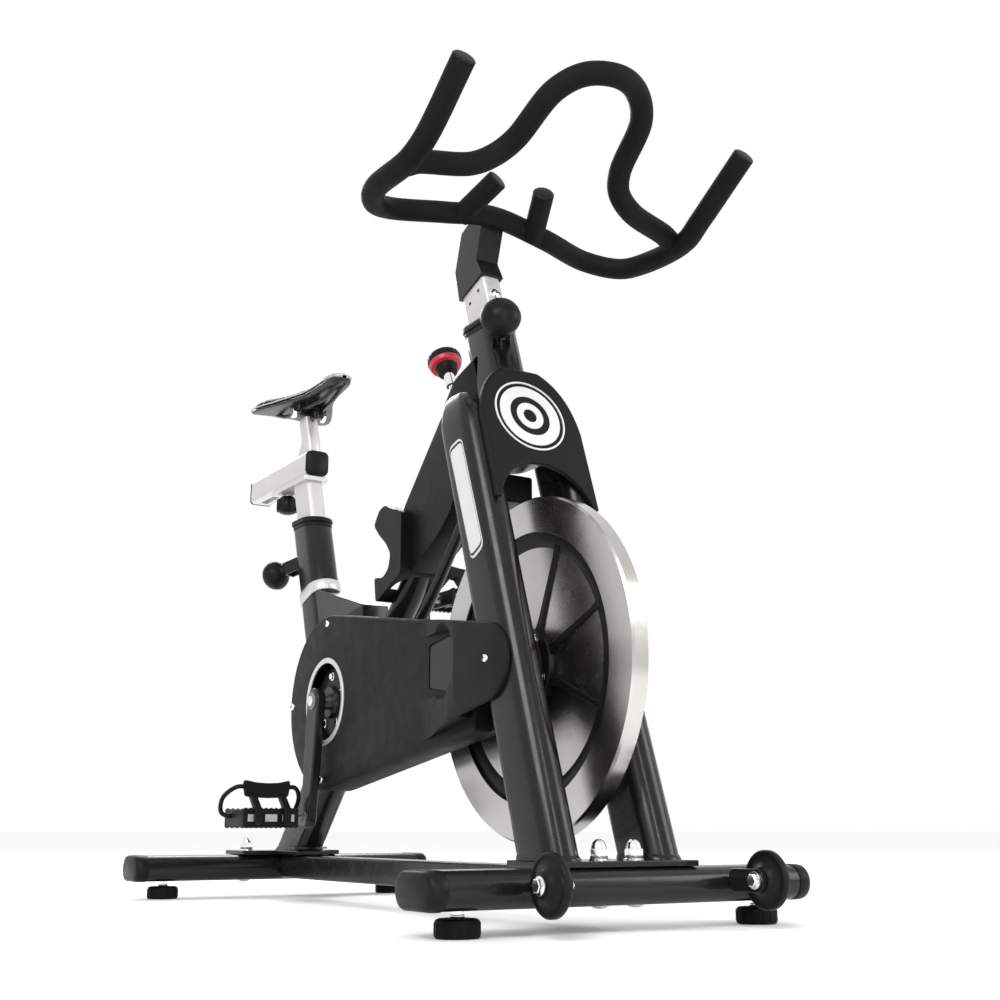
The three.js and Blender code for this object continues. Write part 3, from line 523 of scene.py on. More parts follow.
def make_fork():
    levels = [73.3, 75, 300, 540, 570, 590, 600, 610, 618, 625, 632, 638, 643, 647, 651, 654, 656.5, 658.5,
              660, 661, 661.5]
    for side, s in SIDES:
        rings = []
        for z in levels:
            front, back = between(NOSE_FRONT, z), between(NOSE_BACK, z)
            k = (front + back) / 85
            narrowing = math.cos(math.asin(min(1.0, max(0.0, z - 606) / 56.0))) ** 0.8
            across = 1.0 if z < 606 else max(0.12, narrowing)
            mid = along_fork(z) + (back - front) / 2
            rings.append([(s * FORK_X + px * across, mid + py * k, z) for px, py in oval(45, 85, 18)])
        give(loft(f"fork_tube_{side}", rings, PAINT, 50), "frame", f"fork_leg_{side}")
        weld = leaning(f"fork_weld_{side}", oval(49, 89, 18), s * FORK_X, along_fork, [73, 75, 77.5, 79],
                       PAINT,
                       [1.0, 1.0, 0.965, 0.95], 60)
        give(weld, "frame")
        badge(side, s)
    tube = leaning("head_tube_shell", oval(50, 84, 18), 0, along_fork, [566, 568, HEAD_TOP - 1.5, HEAD_TOP],
                   PAINT,
                   [0.97, 1, 1, 0.98], 50)
    web = cuboid("web", -46, 46, along_fork(620) - 24, along_fork(620) + 18, 590, 650, PAINT, 2)
    give(join("head_tube_outer", tube, web, pin_bracket(HEAD_PIN, HEAD_EAR)), "frame", "head_tube")
    collar("head_collar", along_fork, HEAD_TOP, "head_sleeve")
    give(post_body("handlebar_post_tube", HEAD_POST_FOOT), "handlebar", "handlebar_post")
    # the post's screw with its washer on the front, and two small holes on the right, each drawn as a thin
    # dark disc of painted shade
    face = Vector((0, along_fork(828) - 31.6, 828))
    normal = Vector((0, -1, SLOPE)).normalized()
    give(lathe("post_washer", [(0, 9), (1.2, 9), (1.5, 8.4)], face, normal, CHROME, 28), "handlebar")
    screw("post_screw", face + normal * 1.5, normal, 5, "handlebar")
    for i, (dy, z) in enumerate(((-14, 838), (12, 826))):
        spot = (-15.05, along_fork(z) + dy, z)
        give(lathe(f"painted_hole_shade_{i + 1}", [(0, 2.6), (0.25, 2.6)], spot, (-1, 0, 0), BLACK_AND_SHADE, 20), "handlebar")


def post_body(name, foot):
    """the chamfered handlebar post, from its foot up to its sloping joint with the gooseneck"""
    outline = chamfered(30, 63, 4)
    upper = []
    for px, py in outline:
        z = 840.0
        for _ in range(20):
            z = post_joint(along_fork(z) + py) - 0.3
        upper.append((px, along_fork(z) + py, z))
    return loft(name, [[(px, along_fork(foot) + py, foot) for px, py in outline], upper], SILVER, 20)


def collar(name, line, z, node):
    """the plastic guide on top of a tube: a soft-edged rim round the post"""
    out, low = oval(56, 90, 18), oval(51, 85, 18)
    hole = chamfered(30.8, 63.8, 4)
    rows = [(out, z + 0.3, 0.97), (out, z + 1.5, 1.0), (out, z + 6.5, 1.0), (out, z + 8.4, 0.975),
            (out, z + 9, 0.94)]
    rim = loft("rim", [[(px * k, line(h) + py * k, h) for px, py in o] for o, h, k in rows], PLASTIC, 60)
    cutter = leaning("bore", hole, 0, line, [z - 5, z + 20], PLASTIC)
    give(boolean(rim, cutter), "frame", node)
    rim.name = name
    lip = leaning(name + "_lip", low, 0, line, [z - 7, z - 6.2, z - 0.6, z], PLASTIC,
                  [0.995, 1.012, 1.012, 1.0], 60)
    give(boolean(lip, leaning("bore", hole, 0, line, [z - 30, z + 20], PLASTIC)), "frame")


def badge(side, s):
    """a blank silver plate with a dark inset line on the outer face of a fork leg"""
    corners = [(217, 581), (186, 590), (130, 437), (158, 423)]
    plate = slab(f"leg_plate_{side}", rounded(corners, 11), s * 91.3, s * 92.6, BADGE)
    give(bevelled(plate, 0.4, 2), "frame")
    centre = Vector((sum(c[0] for c in corners) / 4, sum(c[1] for c in corners) / 4))
    scaled = lambda k, r: rounded([tuple(centre + (Vector(c) - centre) * k) for c in corners], r)
    outer = scaled(0.955, 9)
    verts = [(s * 92.62, y, z) for y, z in outer + scaled(0.915, 8)]
    verts += [(x + s * 0.12, y, z) for x, y, z in verts]
    n = len(outer)
    faces = []
    for k in range(n):
        m = (k + 1) % n
        faces += [(k, m, n + m, n + k), (2 * n + k, 2 * n + m, 3 * n + m, 3 * n + k),
                  (k, m, 2 * n + m, 2 * n + k), (n + k, n + m, 3 * n + m, 3 * n + k)]
    give(solid(f"leg_plate_line_{side}", verts, faces, BLACK_AND_SHADE), "frame")


# ---------------------------------------------------------------- pop-pins
def pin_bracket(pin, ear):
    """a folded U of sheet steel standing on the tube along the pin's axis"""
    base, way = pin
    u, v, w = axes_for(way)
    parts = []
    for lo, hi, t0, t1 in ((-12.5, -9.5, 20, ear), (9.5, 12.5, 20, ear), (-12.5, 12.5, ear - 3, ear)):
        ring = [base + u * a + v * b + w * t0 for a, b in ((lo, -11), (hi, -11), (hi, 11), (lo, 11))]
        parts.append(bevelled(loft("leaf", [ring, [p + w * (t1 - t0) for p in ring]], PAINT, 20), 0.8, 2))
    return join("bracket", *parts)


def make_pin(name, pin, ear, ball, r, body, node):
    """a pull knob: a ball of radius r centred at ball along the pin, with its neck and shank"""
    turns = [math.radians(d) for d in (-62, -50, -38, -26, -14, -4, 0, 6, 18, 30, 42, 54, 66, 78, 86)]
    knob = [(ball - r * 0.93, 9)] + [(ball + r * 0.92 * math.sin(a), r * 1.04 * math.cos(a)) for a in turns]
    knob += [(ball + r * 0.92, 0)]
    seam = [(ball + t, r * k) for t, k in ((-2.4, 1.03), (-1.2, 1.052), (1.2, 1.052), (2.4, 1.03))]
    neck = [(ear + 0.3, 9), (ear + 2, 10.5), (ball - r * 0.8, 12.5)]
    parts = [lathe("ball", knob, *pin, PLASTIC, 48, 50), lathe("seam", seam, *pin, PLASTIC, 48, 60),
             lathe("neck", neck, *pin, PLASTIC, 32), lathe("shank", [(22, 4.9), (ear + 2, 4.9)], *pin,
                                                           CHROME, 20)]
    give(join(name, *parts), body, node)


# ---------------------------------------------------------------- rear frame
SEAT_PIN = (Vector((0, along_seat(554) + 17, 554)), Vector((-0.5, 0.821, -0.2745)).normalized())
TUBE_LINE = [(0, 606, 400), (0, 570, 396), (0, 535, 400), (0, 500, 428), (0, 462, 470), (0, 415, 524),
             (0, 360, 584),
             (0, 300, 634), (0, 262, 660)]


def make_rear_frame():
    tube = leaning("tube", oval(50, 84, 18), 0, along_seat, [262, 264, SEAT_TOP - 1.5, SEAT_TOP], PAINT,
                   [0.97, 1, 1, 0.98], 50)
    give(join("seat_tube_shell", tube, pin_bracket(SEAT_PIN, SEAT_EAR)), "frame", "seat_tube")
    collar("seat_collar", along_seat, SEAT_TOP, "seat_sleeve")
    u, v, w = Vector(ACROSS), Vector((0, math.cos(LEAN), -math.sin(LEAN))), Vector((0, math.sin(LEAN),
            math.cos(LEAN)))
    centre = Vector((0, along_seat(487), 487))
    rows = [(-9.5, 0.975), (-8.3, 1.0), (8.3, 1.0), (9.5, 0.975)]
    band = loft("silver_band", [[centre + u * (a * k) + v * (b * k) + w * t for a,
                                 b in oval(56, 86, 18)] for t, k in rows],
                SILVER, 60)
    give(band, "frame", "seat_tube_band")
    leg_line = lambda z: 858 - 0.95 * (z - 73)
    leg = leaning("leg", oval(45, 112, 18), 0, leg_line, [73.3, 200, 330], PAINT, None, 50)
    weld = leaning("weld", oval(49, 117, 18), 0, leg_line, [73, 75, 77.5, 79], PAINT, [1, 1, 0.97, 0.95], 60)
    give(join("rear_leg_tube", leg, weld), "frame", "rear_leg")
    shell = lathe("bottom_bracket_shell", [(-28.5, 13), (-28.5, 25), (-27, 26.7), (27, 26.7), (28.5, 25),
                                           (28.5, 13)],
                  *AT_CRANK, STEEL, 48, 40)
    give(shell, "frame", "crank_shell")
    beam = slab("beam_tube", rounded([(812, 500), (598, 440), (598, 376), (812, 430)], 3), -22, 22, PAINT)
    beam = boolean(bevelled(beam, 5, 4), leaning("seat_tube_space", oval(49, 83, 18), 0, along_seat,
                                                 [300, 600], PAINT))
    give(beam, "frame", "top_beam")
    main = sweep("main", TUBE_LINE, [(b, a) for a, b in oval(38, 40, 12)], PAINT)
    stay = sweep("stay", [(-15, 240, 582), (-15, 300, 521), (-15, 430, 389), (-14, 476, 358),
                          (-12, 520, 358), (-8, 556, 384)],
                 disc(8, 20), PAINT)
    give(join("down_tube_and_stay", main, stay), "frame", "down_tube")


# ---------------------------------------------------------------- covers
def bezier2(p0, p1, p2, steps=12):
    return [tuple(Vector(p0) * (1 - t) ** 2 + Vector(p1) * 2 * t * (1 - t) + Vector(p2) * t * t)
            for t in (k / steps for k in range(steps + 1))]


def shroud_point(x, z, out):
    return (x, along_fork(z) - 42.8 - out, z)


def make_covers():
    right = [(77, 500)] + bezier2((77, 612), (70, 676), (26, 697), 16)
    arch = bezier2((-70, 500), (-52, 556), (0, 556), 16) + bezier2((0, 556), (52, 556), (70, 500), 16)[1:]
    outline = right + [(-x, z) for x, z in right[::-1]] + arch
    shield = loft("front_shield", [[shroud_point(x, z, t) for x, z in outline] for t in (0, 10)], SHROUD, 30)
    give(bevelled(shield, 3.2, 4, 40), "frame", "front_shroud")
    normal = Vector((0, -1, SLOPE)).normalized()
    middle = Vector(shroud_point(-2, 626, 10))
    rows = (("emblem_ring", 50.6, 53.0, 1.2), ("emblem_disc", 30, 45.5, 0.9), ("emblem_core", 10, 20, 0.9))
    for name, inner, outer, high in rows:
        ring = lathe(name, [(-0.5, inner), (high, inner), (high, outer), (-0.5, outer)], middle, normal,
                     BADGE, 72, 40, True)
        give(ring, "frame")

    body = rounded([(255, 737), (321, 718), (349, 688), (352, 677), (462, 566), (500, 510), (512, 432),
                    (449, 460), (365, 502),
                    (329, 531), (262, 640)], 9)
    arms = rounded([(440, 548), (452, 556), (472, 561), (493, 571), (511, 566), (527, 546), (509, 528),
                    (487, 512), (472, 494),
                    (478, 473), (495, 462), (522, 466), (516, 428), (440, 462)], 7)
    cover = bevelled(slab("cover_body", body, -25, 25, PLASTIC), 5, 3)
    holder = slab("cover_arms", arms, -42, 42, PLASTIC)
    slant = lambda z: 500 + SLOPE * (z - 510)
    pocket = lambda: leaning("pocket", disc(36, 48), 0, slant, [444, 660], PLASTIC)
    mouth = leaning("mouth", [(-28, 0), (28, 0), (28, 90), (-28, 90)], 0, slant, [444, 660], PLASTIC)
    holder = cut(holder, pocket(), mouth)
    give(join("cover_shell", cut(cover, pocket()), bevelled(holder, 1.6, 2)), "frame", "frame_cover")


def make_rod_guide():
    """the dark block that guides the brake rod above the flywheel, under the head tube"""
    shape = rounded([(203, 520), (203, 556), (226, 563), (262, 563), (300, 590), (306, 566), (280, 528),
                     (238, 517)], 5)
    guide = slab("rod_guide", shape, -27, 27, PLASTIC)
    guide = boolean(guide, lathe("bore", [(205, 9), (340, 9)], (0, *AXLE), ROD_WAY, PLASTIC, 32))
    give(bevelled(guide, 2.5, 3, 50), "frame")


def clip_rear(points, y0):
    """the part of an outline behind y0"""
    out = []
    for i, (y, z) in enumerate(points):
        py, pz = points[i - 1]
        if (py >= y0) != (y >= y0):
            t = (y0 - py) / (y - py)
            out.append((y0, pz + (z - pz) * t))
        if y >= y0:
            out.append((y, z))
    return out


def make_guard():
    outline = lambda inset=0.0: belt(*CRANK, 130 - inset, AXLE[0] + 4, AXLE[1] - 12, 62 - inset)
    rear = bevelled(slab("guard_rear", clip_rear(outline(), 186), -71, -31, GUARD), 5, 4, 50)
    front = slab("guard_front", outline(), -45.8, -31, GUARD)
    spots = [(251 + 36 * math.cos(a), 309.5 + 36 * math.sin(a)) for a in
             (math.radians(d) for d in range(90, 271, 15))]
    window = rounded([(300, 281), (300, 338)] + spots, 6, 3)
    shell = cut(boolean(rear, front, "UNION"),
                slab("inner", clip_rear(outline(2.5), 188.5), -68.5, -20, GUARD),
                slab("inner", outline(2.5), -43.3, -20, GUARD),
                lathe("hole", [(-90, 57), (-60, 57)], *AT_CRANK, GUARD, 72),
                lathe("hole", [(-60, 9), (-20, 9)], *AT_AXLE, GUARD, 32),
                slab("window", window, -75, -69.6, GUARD))
    smaller = [(251 + (y - 251) * 0.955, 309.5 + (z - 309.5) * 0.94) for y, z in window]
    pane = slab("window_pane", smaller, -69.9, -69.4, PAINT)
    give(pane, "frame")
    give(shell, "frame", "guard_shell")
    give(slab("guard_back_plate", outline(), -30.7, -28.7, GUARD), "frame", "guard_back")
    ear = slab("ear", belt(617, 291, 129.4, 118, 297, 46, 56), -98, -71.3, GUARD)
    ramp = [(-98 + 26.7 * (0.5 - 0.5 * math.cos(math.pi * k / 12)), 190 + 128 * k / 12) for k in range(13)]
    plan = [(-99, 40), (-92, 40), (-92, 188), (-71.3, 192), (-71.3, 318)] + ramp[::-1] + [(-99, 150)]
    block = loft("plan", [[(x, y, z) for x, y in plan] for z in (150, 450)], GUARD, 20)
    ear = boolean(bevelled(ear, 3.0, 4, 50), block, "INTERSECT")
    recess = [(-110, 74), (-98, 60), (-88, 50), (-80, 44.5), (-73.4, 41), (-70, 40)]
    ear = cut(ear, lathe("recess", recess, (0, 251, 309.5), ACROSS, GUARD, 72),
              slab("recess", [(251, 268.5), (330, 268.5), (330, 350.5), (251, 350.5)], -99, -70, GUARD))
    give(ear, "frame", "guard_front_cover")
    ring = lathe("opening_ring", [(-72.4, 57.4), (-73.4, 59), (-73.4, 63.6), (-72.2, 65), (-70.8, 65),
                                  (-70.8, 57.4)],
                 *AT_CRANK, SILVER, 96, 40, True)
    give(ring, "frame")
    for i, (y, z) in enumerate(((618, 408), (737, 292), (624, 177))):
        screw(f"guard_screw_{i + 1}", (-70.9, y, z), (-1, 0, 0), 5, "frame")
    screw("guard_screw_4", (-98, 116, 300), (-1, 0, 0), 5, "frame")


# ---------------------------------------------------------------- flywheel and drive
def spoke(centre, a, shape):
    """(outward, sideways) points of a spoke, turned to the angle a round a centre"""
    c, s = math.cos(a), math.sin(a)
    return [(centre[0] + p * c - q * s, centre[1] + p * s + q * c) for p, q in shape]
def make_wheel():
    half, web = 11.5, 4.5
    rim = [(-half, 167.4), (-half, 209.6), (2.6 - half, 212), (half - 2.6, 212), (half, 209.6), (half, 167.4),
           (half - 1, 166.4), (1 - half, 166.4)]
    give(lathe("wheel_rim", rim, *AT_AXLE, RIM, 144, 25, True), "flywheel", "flywheel")
    channel = [(-6.5, 167.2), (-6.5, 160), (-5.4, 149), (-web, 148), (web, 148), (5.4, 149), (6.5, 160),
               (6.5, 167.2)]
    give(lathe("wheel_channel", channel, *AT_AXLE, BLACK_AND_SHADE, 144, 40, True), "flywheel")
    disc_profile = [(-web, 149), (-web + 0.6, 60), (-web, 30), (web, 30), (web - 0.6, 60), (web, 149)]
    give(lathe("wheel_web", disc_profile, *AT_AXLE, WEB, 144, 40, True), "flywheel")
    shape = [(34, -9), (60, -5), (140, -3.2), (154, -6), (154, 6), (140, 3.2), (60, 5), (34, 9)]
    ribs = [bevelled(slab("rib", spoke(AXLE, a, shape), -7.2, 7.2, BLACK_AND_SHADE), 1.2, 2) for a in angles(8,
            math.pi / 8)]
    give(join("wheel_ribs", *ribs), "flywheel")
    hub = [(-15, 8.1), (-15, 27), (-13.6, 29), (-11, 41), (-9.5, 45), (-4, 47), (4, 47), (9.5, 45), (11, 41),
           (13.6, 29),
           (15, 27), (15, 8.1)]
    give(lathe("wheel_hub", hub, *AT_AXLE, BLACK_AND_SHADE, 72, 40, True), "flywheel")
    for s, side in ((-1, "right"), (1, "left")):
        for i, a in enumerate(angles(4, math.radians(62))):
            spot = (s * 11.5, AXLE[0] - 34 * math.cos(a), AXLE[1] + 34 * math.sin(a))
            hex_bolt(f"hub_bolt_{side}_{i + 1}", spot, (s, 0, 0), 11, 6, "flywheel", washer=8)
    axle = lathe("axle_shaft", [(-84, 5.9), (-84, 6), (-36.2, 6), (-36, 8), (36, 8), (36.2, 6), (84, 6),
                                (84, 5.9)], *AT_AXLE, CHROME, 32)
    give(axle, "frame", "flywheel_axle")
    hex_bolt("axle_nut_left", (91.4, *AXLE), ACROSS, 22, 9, "frame", washer=16)


def tooth_ring(name, teeth, root, tip, x0, x1, centre, bore, mat):
    """a toothed ring about a (y, z), bored through"""
    outline = []
    for i in range(teeth):
        for frac, r in ((0.0, root), (0.28, root), (0.42, tip), (0.58, tip), (0.72, root)):
            a = 2 * math.pi * (i + frac) / teeth
            outline.append((centre[0] + r * math.cos(a), centre[1] + r * math.sin(a)))
    ring = slab(name, outline, x0, x1, mat)
    return boolean(ring, lathe("bore", [(x0 - 5, bore), (x1 + 5, bore)], (0, *centre), ACROSS, mat, 48))


def make_drive():
    cog = tooth_ring("cog", 16, 29.5, 33, -39.5, -36.5, AXLE, 8.4, STEEL)
    boss = lathe("boss", [(-36.5, 8.4), (-36.5, 24), (-15.4, 24), (-15.4, 8.4)], *AT_AXLE, STEEL, 48, 40,
                 True)
    give(join("rear_cog", cog, boss), "flywheel", "flywheel_cog")
    wheel = tooth_ring("sprocket", 52, 97, 101, -40, -36, CRANK, 74, STEEL)
    shape = [(16, -13), (50, -7), (80, -8), (80, 8), (50, 7), (16, 13)]
    top = math.radians(90)
    spider = [bevelled(slab("arm", rounded(spoke(CRANK, a, shape), 3), -44, -38, PAINT), 1.2, 2)
              for a in angles(5, top)]
    profile = [(-66, 12.3), (-66, 22), (-60, 25), (-44, 30), (-38, 30), (-38, 12.3)]
    boss = lathe("boss", profile, *AT_CRANK, PAINT, 48, 40, True)
    give(join("chainring_and_spider", wheel, boss, *spider), "crank", "chainring")
    for i, a in enumerate(angles(5, top)):
        spot = (-60, CRANK[0] + 38 * math.cos(a), CRANK[1] + 38 * math.sin(a))
        hex_bolt(f"ring_bolt_{i + 1}", spot, (-1, 0, 0), 9, 4, "crank", washer=6.5)
    cover = lathe("spider_cover", [(-56, 23), (-56, 50), (-59, 51), (-60, 49), (-60, 23)], *AT_CRANK, BLACK_AND_SHADE,
                  64, 40,
                  True)
    give(cover, "crank")
    make_chain()
    spindle = lathe("spindle_shaft", [(-77.6, 11), (-76.5, 12), (76.5, 12), (77.6, 11)], *AT_CRANK, STEEL, 40)
    give(spindle, "crank", "crank_spindle")


def make_chain():
    """a roller chain: rollers and pairs of side plates round the two pitch circles"""
    path = belt(*CRANK, 103, AXLE[0], AXLE[1], 33.5, 60)
    total = [0.0]
    closed = path + [path[0]]
    for a, b in zip(closed, closed[1:]):
        total.append(total[-1] + math.dist(a, b))
    count = 2 * round(total[-1] / 12.7 / 2)
    def at(s):
        s %= total[-1]
        for i in range(len(path)):
            if s <= total[i + 1]:
                t = (s - total[i]) / max(total[i + 1] - total[i], 1e-9)
                return Vector(closed[i]) * (1 - t) + Vector(closed[i + 1]) * t
        return Vector(closed[-1])
    stops = [at(total[-1] * i / count) for i in range(count)]
    verts, faces = [], []
    def add(outline, x0, x1):
        base = len(verts)
        n = len(outline)
        verts.extend([(x0, y, z) for y, z in outline] + [(x1, y, z) for y, z in outline])
        faces.extend([tuple(base + k for k in range(n)), tuple(base + n + k for k in range(n))])
        faces.extend([(base + k, base + (k + 1) % n, base + n + (k + 1) % n, base + n + k) for k in range(n)])
    for i, p in enumerate(stops):
        q = stops[(i + 1) % count]
        along = (q - p).normalized()
        across = Vector((-along.y, along.x))
        add([tuple(p + Vector(v)) for v in disc(3.9, 8)], -40.2, -35.8)
        x = 2.9 if i % 2 else 3.7
        plate = [p - along * 3.2 + across * 2.6, p - along * 3.2 - across * 2.6,
                 q + along * 3.2 - across * 2.6,
                 q + along * 3.2 + across * 2.6]
        for s in (-1, 1):
            add([tuple(v) for v in plate], -38 + s * x, -38 + s * (x - 0.9))
    give(solid("roller_chain", verts, faces, STEEL, 30), "frame", "drive_chain")


# ---------------------------------------------------------------- cranks and pedals
def make_cranks():
    for side, s in SIDES:
        turn = CRANK_TILT + (math.pi if s > 0 else 0)
        y, z = CRANK[0] + CRANK_L * math.sin(turn), CRANK[1] - CRANK_L * math.cos(turn)
        x0, x1 = sorted((s * 78, s * 92))
        arm = bevelled(slab(f"crank_{side}", belt(*CRANK, 19, y, z, 14.5, 20), x0, x1, PAINT), 2.6, 3, 50)
        cap = lathe("cap", [(0, 13), (1.6, 13), (2.2, 12), (2.2, 8)], (s * 91.6, *CRANK), (s, 0, 0), STEEL,
                    36)
        bolt = lathe("bolt", [(0, 8), (4, 8), (5, 7)], (s * 91.6, *CRANK), (s, 0, 0), CHROME, 6, 20)
        eye = lathe("eye", [(-0.4, 10.5), (1.6, 10.5), (2, 9.8), (2, 7.4), (-0.4, 7.4)], (s * 92, y, z),
                    (s, 0, 0), STEEL, 32, 40,
                    True)
        give(join(f"crank_{side}_arm", arm, cap, bolt, eye), "crank", f"crank_arm_{side}")
        make_pedal(side, s, y, z)


def make_pedal(side, s, y, z):
    body = f"pedal_{side}"
    cx = s * PEDAL_X
    box = lambda x0, x1, y0, y1, z0, z1, mat, e=1.2: cuboid("part", cx + x0, cx + x1, y + y0, y + y1, z + z0,
                                                            z + z1, mat, e)
    parts = [box(-42, 42, -36, -30, -13, 13, PLASTIC), box(-42, 42, 30, 36, -13, 13, PLASTIC),
             box(-42, -36, -34, 34, -12, 12, PLASTIC), box(36, 42, -34, 34, -12, 12, PLASTIC),
             box(-37, 37, -8, 8, -10, 10, PLASTIC, 3)]
    for x in (-20, 0, 20):
        parts.append(box(x - 3, x + 3, -31, 31, -9, 9, PLASTIC))
    for k in range(11):
        x = -38 + k * 7.6
        for y0 in (-36, 33.4):
            parts.append(box(x - 1.7, x + 1.7, y0, y0 + 2.6, 12, 14, PLASTIC, 0.4))
            parts.append(box(x - 1.7, x + 1.7, y0, y0 + 2.6, -14, -12, PLASTIC, 0.4))
    for x in (-26, 0, 26):
        parts.append(box(x - 9, x + 9, -36.8, -35, -5, 5, TRIM_AND_HIGHLIGHT, 0.6))
    pin = lathe("pin", [(78.4, 6.2), (92, 7), (92.6, 9.5), (97, 9.5), (97.6, 7), (118, 7)], (0, y, z),
                (s, 0, 0), STEEL, 28)
    give(join(f"pedal_{side}_body", *parts, pin), body, body)
    crown = [(-33, 30), (-36, 46), (-34.5, 53), (-17, 49.5), (0, 48.6), (17, 49.5), (34.5, 53), (36, 46),
             (33, 30), (16, 28.2),
             (0, 27.6), (-16, 28.2)]
    crown = rounded(crown, 3)
    rings = []
    for t in (-12, -17):
        rings.append([(cx + a, y + t - 3.5 * (1 - (a / 36) ** 2), z + b) for a, b in crown])
    cage = [bevelled(loft("crown", rings, PLASTIC, 32), 1.4, 2, 45)]
    strut = rounded([(-12, 31), (-18, 36), (-45, 12), (-45, -9), (-36.3, -9), (-36.3, 8)], 3)
    for x in (-22, 22):
        cage.append(bevelled(slab("strut", [(y + a, z + b) for a, b in strut], cx + x - 5, cx + x + 5,
                                  PLASTIC), 1.2, 2))
    for k in (-1, 1):
        line = [(cx + k * dx, y + dy, z + dz) for dx, dy, dz in ((28, -14.5, 43), (44, -13, 43), (58, 4, 28),
                (55, 16, 8),
                                                                (46, 16, 3), (41, 16, 3))]
        cage.append(sweep("hoop", line, disc(3.2, 16), PLASTIC, 8))
    give(join(f"toe_clip_{side}", *cage), body, f"toe_cage_{side}")


# ---------------------------------------------------------------- saddle group
def make_saddle_group():
    post = leaning("post", chamfered(30, 63, 5), 0, along_seat, [SEAT_POST_FOOT, 693], SILVER, None, 20)
    shelf = cuboid("shelf", -22, 22, 838, 985, 693, 701.7, SILVER, 1.2)
    give(join("seat_post_tube", post, shelf), "seat_post", "seat_post")
    knob = [(658, 0), (658.4, 9), (660.5, 14), (665, 17.4), (672, 18.6), (680, 18), (686, 15), (690, 11),
            (691, 9)]
    parts = [lathe("knob", knob, (0, 962, 0), UP, PLASTIC, 48, 50),
             lathe("stem", [(690, 5), (705, 5)], (0, 962, 0), UP, CHROME, 20)]
    for x, dy in disc(17.4, 8):
        flute = [(663, 2.6), (667, 3.4), (681, 3.2), (684, 2.2)]
        parts.append(lathe("flute", flute, (x, 962 + dy, 0), UP, PLASTIC, 12, 50))
    give(join("slider_knob", *parts), "slider_lock", "slider_lock_knob")
    outline = [(a, 723 + b) for a, b in chamfered(41, 42, 4)]
    bar = loft("bar", [[(a, y, b) for a, b in outline] for y in (841, 1094)], SILVER, 20)
    bar = boolean(bar, cuboid("slot", -6.5, 6.5, 950, 1076, 697, 709, SILVER, 0.01))
    stalk = sweep("stalk", [(0, 861, 738), (0, 866, 765), (0, 875, 790), (0, 884, 816)],
                  chamfered(25, 30, 4), SILVER, 4)
    fillet = slab("fillet", [(870, 742)] + bezier2((925, 743), (890, 748), (883, 792), 12) + [(866, 792)],
                  -9, 9, SILVER)
    give(join("slider_box", bar, stalk, bevelled(fillet, 2, 2)), "saddle_slider", "saddle_slider")
    plug = [(a, 724 + b) for a, b in chamfered(41, 44, 6, 2.4)]
    rows = [(841, 1.0), (838, 1.0), (834, 0.97), (831.5, 0.9), (830.2, 0.78)]
    nose = loft("slider_plug", [[(a * k, y, 724 + (b - 724) * k) for a, b in plug] for y, k in rows],
                PLASTIC, 60)
    give(nose, "saddle_slider", "slider_front_plug")
    rows = [(1090.5, 1.03), (1093, 1.03), (1094.0, 0.99)]
    tail = loft("slider_rear_plug", [[(a * k, y, 723 + (b - 723) * k) for a, b in outline] for y, k in rows],
                PLASTIC, 60)
    give(tail, "saddle_slider")
    clamp = [cuboid("c", -24, 24, 867, 901, 817, 832, PAINT, 3),
             cuboid("c", -27, -14, 864, 904, 826, 838, PAINT, 2),
             cuboid("c", 14, 27, 864, 904, 826, 838, PAINT, 2), cuboid("c", -4, 4, 846, 868, 808, 830, PAINT,
                     2),
             lathe("bolt", [(-31, 6), (-30, 7), (30, 7), (31, 6)], CLAMP_BOLT, ACROSS, CHROME, 28)]
    for s in (1, -1):
        clamp.append(lathe("nut", [(24, 10), (31, 10), (32, 8)], CLAMP_BOLT, (s, 0, 0), CHROME, 6, 20))
    for s in (-1, 1):
        line = [(s * 6, 748, 846), (s * 8, 800, 830.4), (s * 14, 846, 828.4), (s * 20, 884, 829),
                (s * 21, 930, 830.4),
                (s * 22, 976, 845)]
        clamp.append(sweep("rail", line, disc(3.5, 16), PAINT, 8))
    give(join("saddle_clamp_and_rails", *clamp), "saddle_slider", "saddle_clamp")
    make_saddle()


CLAMP_BOLT = (0, 884, 824.4)
# the saddle's outline, by the share of its length behind the nose: half width, then heights
SADDLE_Y = (736, 258)
SADDLE_HALF = [(0, 4), (0.008, 9.5), (0.025, 14.5), (0.055, 18.5), (0.1, 21), (0.17, 22.5), (0.3, 25),
               (0.42, 31), (0.54, 42),
               (0.66, 56), (0.76, 67), (0.85, 73.5), (0.92, 73), (0.96, 67), (0.985, 57), (1.0, 44)]
SADDLE_TOP = [(0, 856), (0.01, 859), (0.04, 862.5), (0.1, 863.5), (0.3, 861), (0.55, 860), (0.8, 864),
              (0.93, 866), (0.98, 862),
              (1, 857)]
SADDLE_EDGE = [(0, 853), (0.1, 853), (0.4, 848), (0.7, 848), (0.9, 851), (1, 852)]
SADDLE_LOW = [(0, 850), (0.02, 846), (0.06, 843), (0.3, 839), (0.6, 838), (0.85, 842), (0.96, 845), (1, 849)]


def saddle_rings(top, low, grow, t0=0.0, t1=1.0, count=44, sides=44):
    rings = []
    for i in range(count + 1):
        k = i / count
        t = t0 + (t1 - t0) * (0.5 - 0.5 * math.cos(math.pi * k))
        w, crown, under = between(SADDLE_HALF, t) + grow, top(t), low(t)
        ring = []
        for j in range(sides):
            a = 2 * math.pi * j / sides
            px = w * math.copysign(abs(math.cos(a)) ** 0.85, math.cos(a))
            pz = (crown - under) / 2 * math.copysign(abs(math.sin(a)) ** 0.85, math.sin(a))
            dip = 3 * math.exp(-(px / 8) ** 2) * min(1, t * 4) if math.sin(a) > 0 else 0
            droop = 8 * (abs(px) / 75) ** 2
            ring.append((px, SADDLE_Y[0] + SADDLE_Y[1] * t, (crown + under) / 2 + pz - dip - droop))
        rings.append(ring)
    return rings


